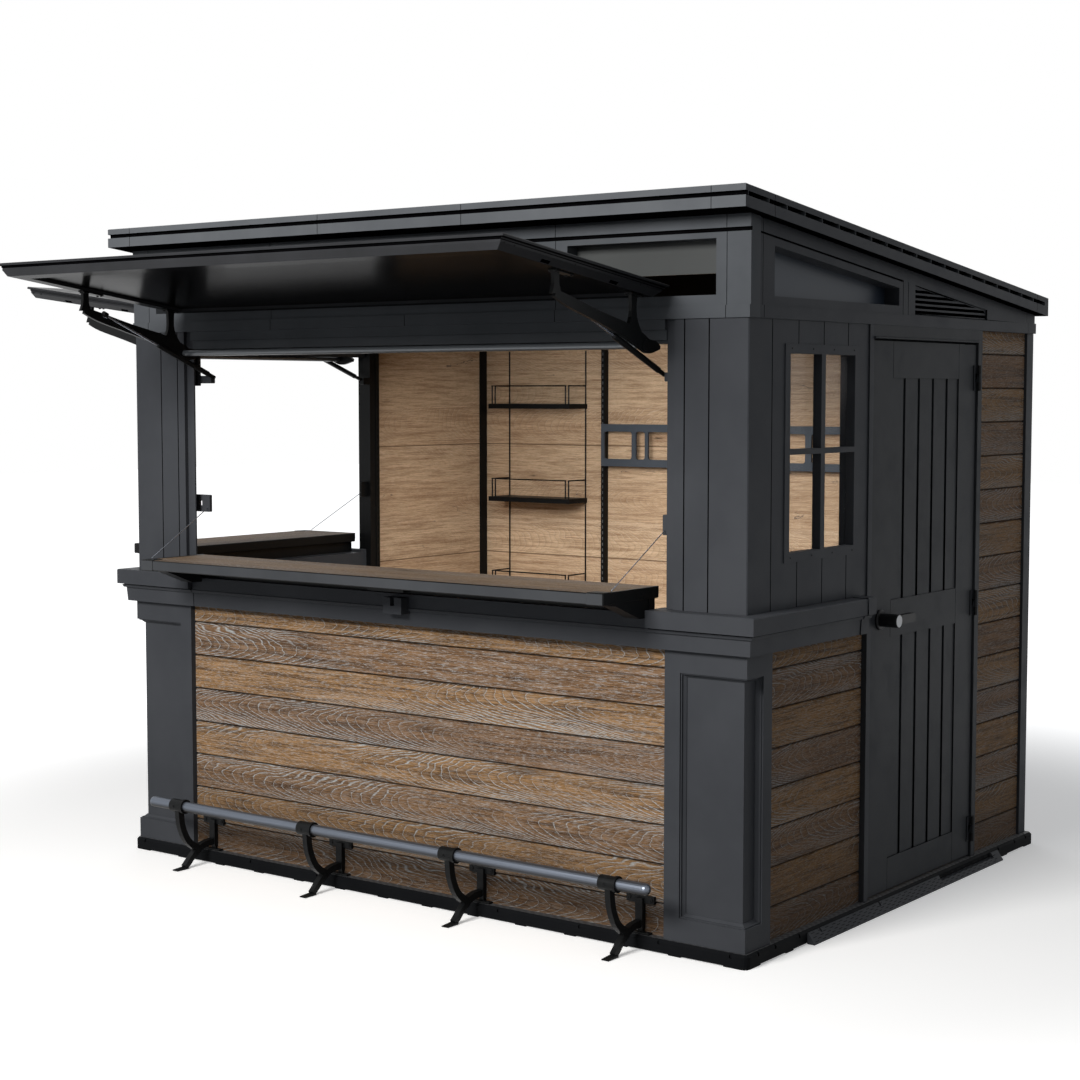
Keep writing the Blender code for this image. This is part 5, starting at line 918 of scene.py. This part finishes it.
begin()
bpy.ops.mesh.primitive_plane_add(size=60.0, location=(0.0, 0.0, -0.0005))
ground = bpy.context.active_object
ground.name = "ground"
ground_paint = Finish("ground_paint", 0.9, 0.0, 0.0)
ground_x, ground_y = ground_paint.axes()[:2]
ground_away = ground_paint.maths("SQRT", ground_x * ground_x + ground_y * ground_y)
ground_far = ground_paint.fade(ground_away, 2.2, 4.6)
ground_grain = ground_paint.noise(ground_paint.point, 0.4, 2.0)
ground_seen = plain_sight(ground_paint)
ground_paint.set("Base Color", ground_paint.blend(
    ground_seen, grey(0.12), ground_paint.blend(ground_grain, grey(0.90), grey(0.94))))
ground_paint.shader.inputs["Emission Strength"].default_value = 1.0
ground_paint.set("Emission Color", ground_paint.blend(
    ground_seen, grey(0.0), ground_paint.blend(ground_far, grey(0.30), grey(1.0))))
ground.data.materials.append(ground_paint.material)


class Surround(Finish):
    """The world, worked with the same sums as a finish."""

    def __init__(self, name):
        self.world = bpy.data.worlds.new(name)
        self.world.use_nodes = True
        self.tree = self.world.node_tree
        self.tree.nodes.clear()


surround = Surround("surround")
bpy.context.scene.world = surround.world
weak_sky = surround.node("Background", None, {"Color": (0.93, 0.96, 1.0, 1.0), "Strength": 0.22})
white_sky = surround.node("Background", None, {"Color": grey(1.0), "Strength": 1.0})
shown_sky = surround.node("MixShader", None, {0: plain_sight(surround), 1: weak_sky,
                                              2: white_sky})
surround_out = surround.tree.nodes.new("ShaderNodeOutputWorld")
surround.feed(surround_out.inputs["Surface"], shown_sky)


def soft_lamp(name, place, aim, size, power, colour):
    """A large plain lamp at a place, turned to what it lights."""
    lamp = bpy.data.lights.new(name, "AREA")
    lamp.shape = "RECTANGLE"
    lamp.size, lamp.size_y = size
    lamp.energy = power
    lamp.color = colour
    holder = bpy.data.objects.new(name, lamp)
    bpy.context.scene.collection.objects.link(holder)
    holder.location = place
    holder.rotation_euler = (Vector(aim) - Vector(place)).to_track_quat("-Z", "Y").to_euler()


warm_white = (1.0, 0.98, 0.95)
cool_white = (0.95, 0.97, 1.0)
sky_blue = (0.86, 0.93, 1.0)
soft_lamp("key", (0.2, -7.3, 4.4), (0.0, 0.0, 1.3), (2.6, 2.0), 600.0, warm_white)
soft_lamp("side", (7.0, 1.6, 4.0), (0.6, 0.2, 1.1), (3.5, 3.0), 16.0, sky_blue)
soft_lamp("front_fill", (0.8, -6.0, 0.9), (0.0, -1.2, 1.9), (4.0, 1.4), 20.0, cool_white)
soft_lamp("room", (0.1, -0.2, 1.75), (0.2, 0.4, 0.6), (1.4, 0.7), 22.0, warm_white)
soft_lamp("back", (-5.5, 5.5, 4.5), (0.0, 0.3, 1.0), (3.5, 3.0), 60.0, cool_white)

camera_data = bpy.data.cameras.new("camera")
camera_data.lens = 66.199
camera_data.sensor_width = 36.0
camera = bpy.data.objects.new("camera", camera_data)
bpy.context.scene.collection.objects.link(camera)
camera.location = (4.3578, -6.1031, 1.7268)
camera.rotation_euler = (math.radians(85.767), 0.0, math.radians(36.889))
bpy.context.scene.camera = camera
bpy.context.scene.view_settings.view_transform = "Standard"
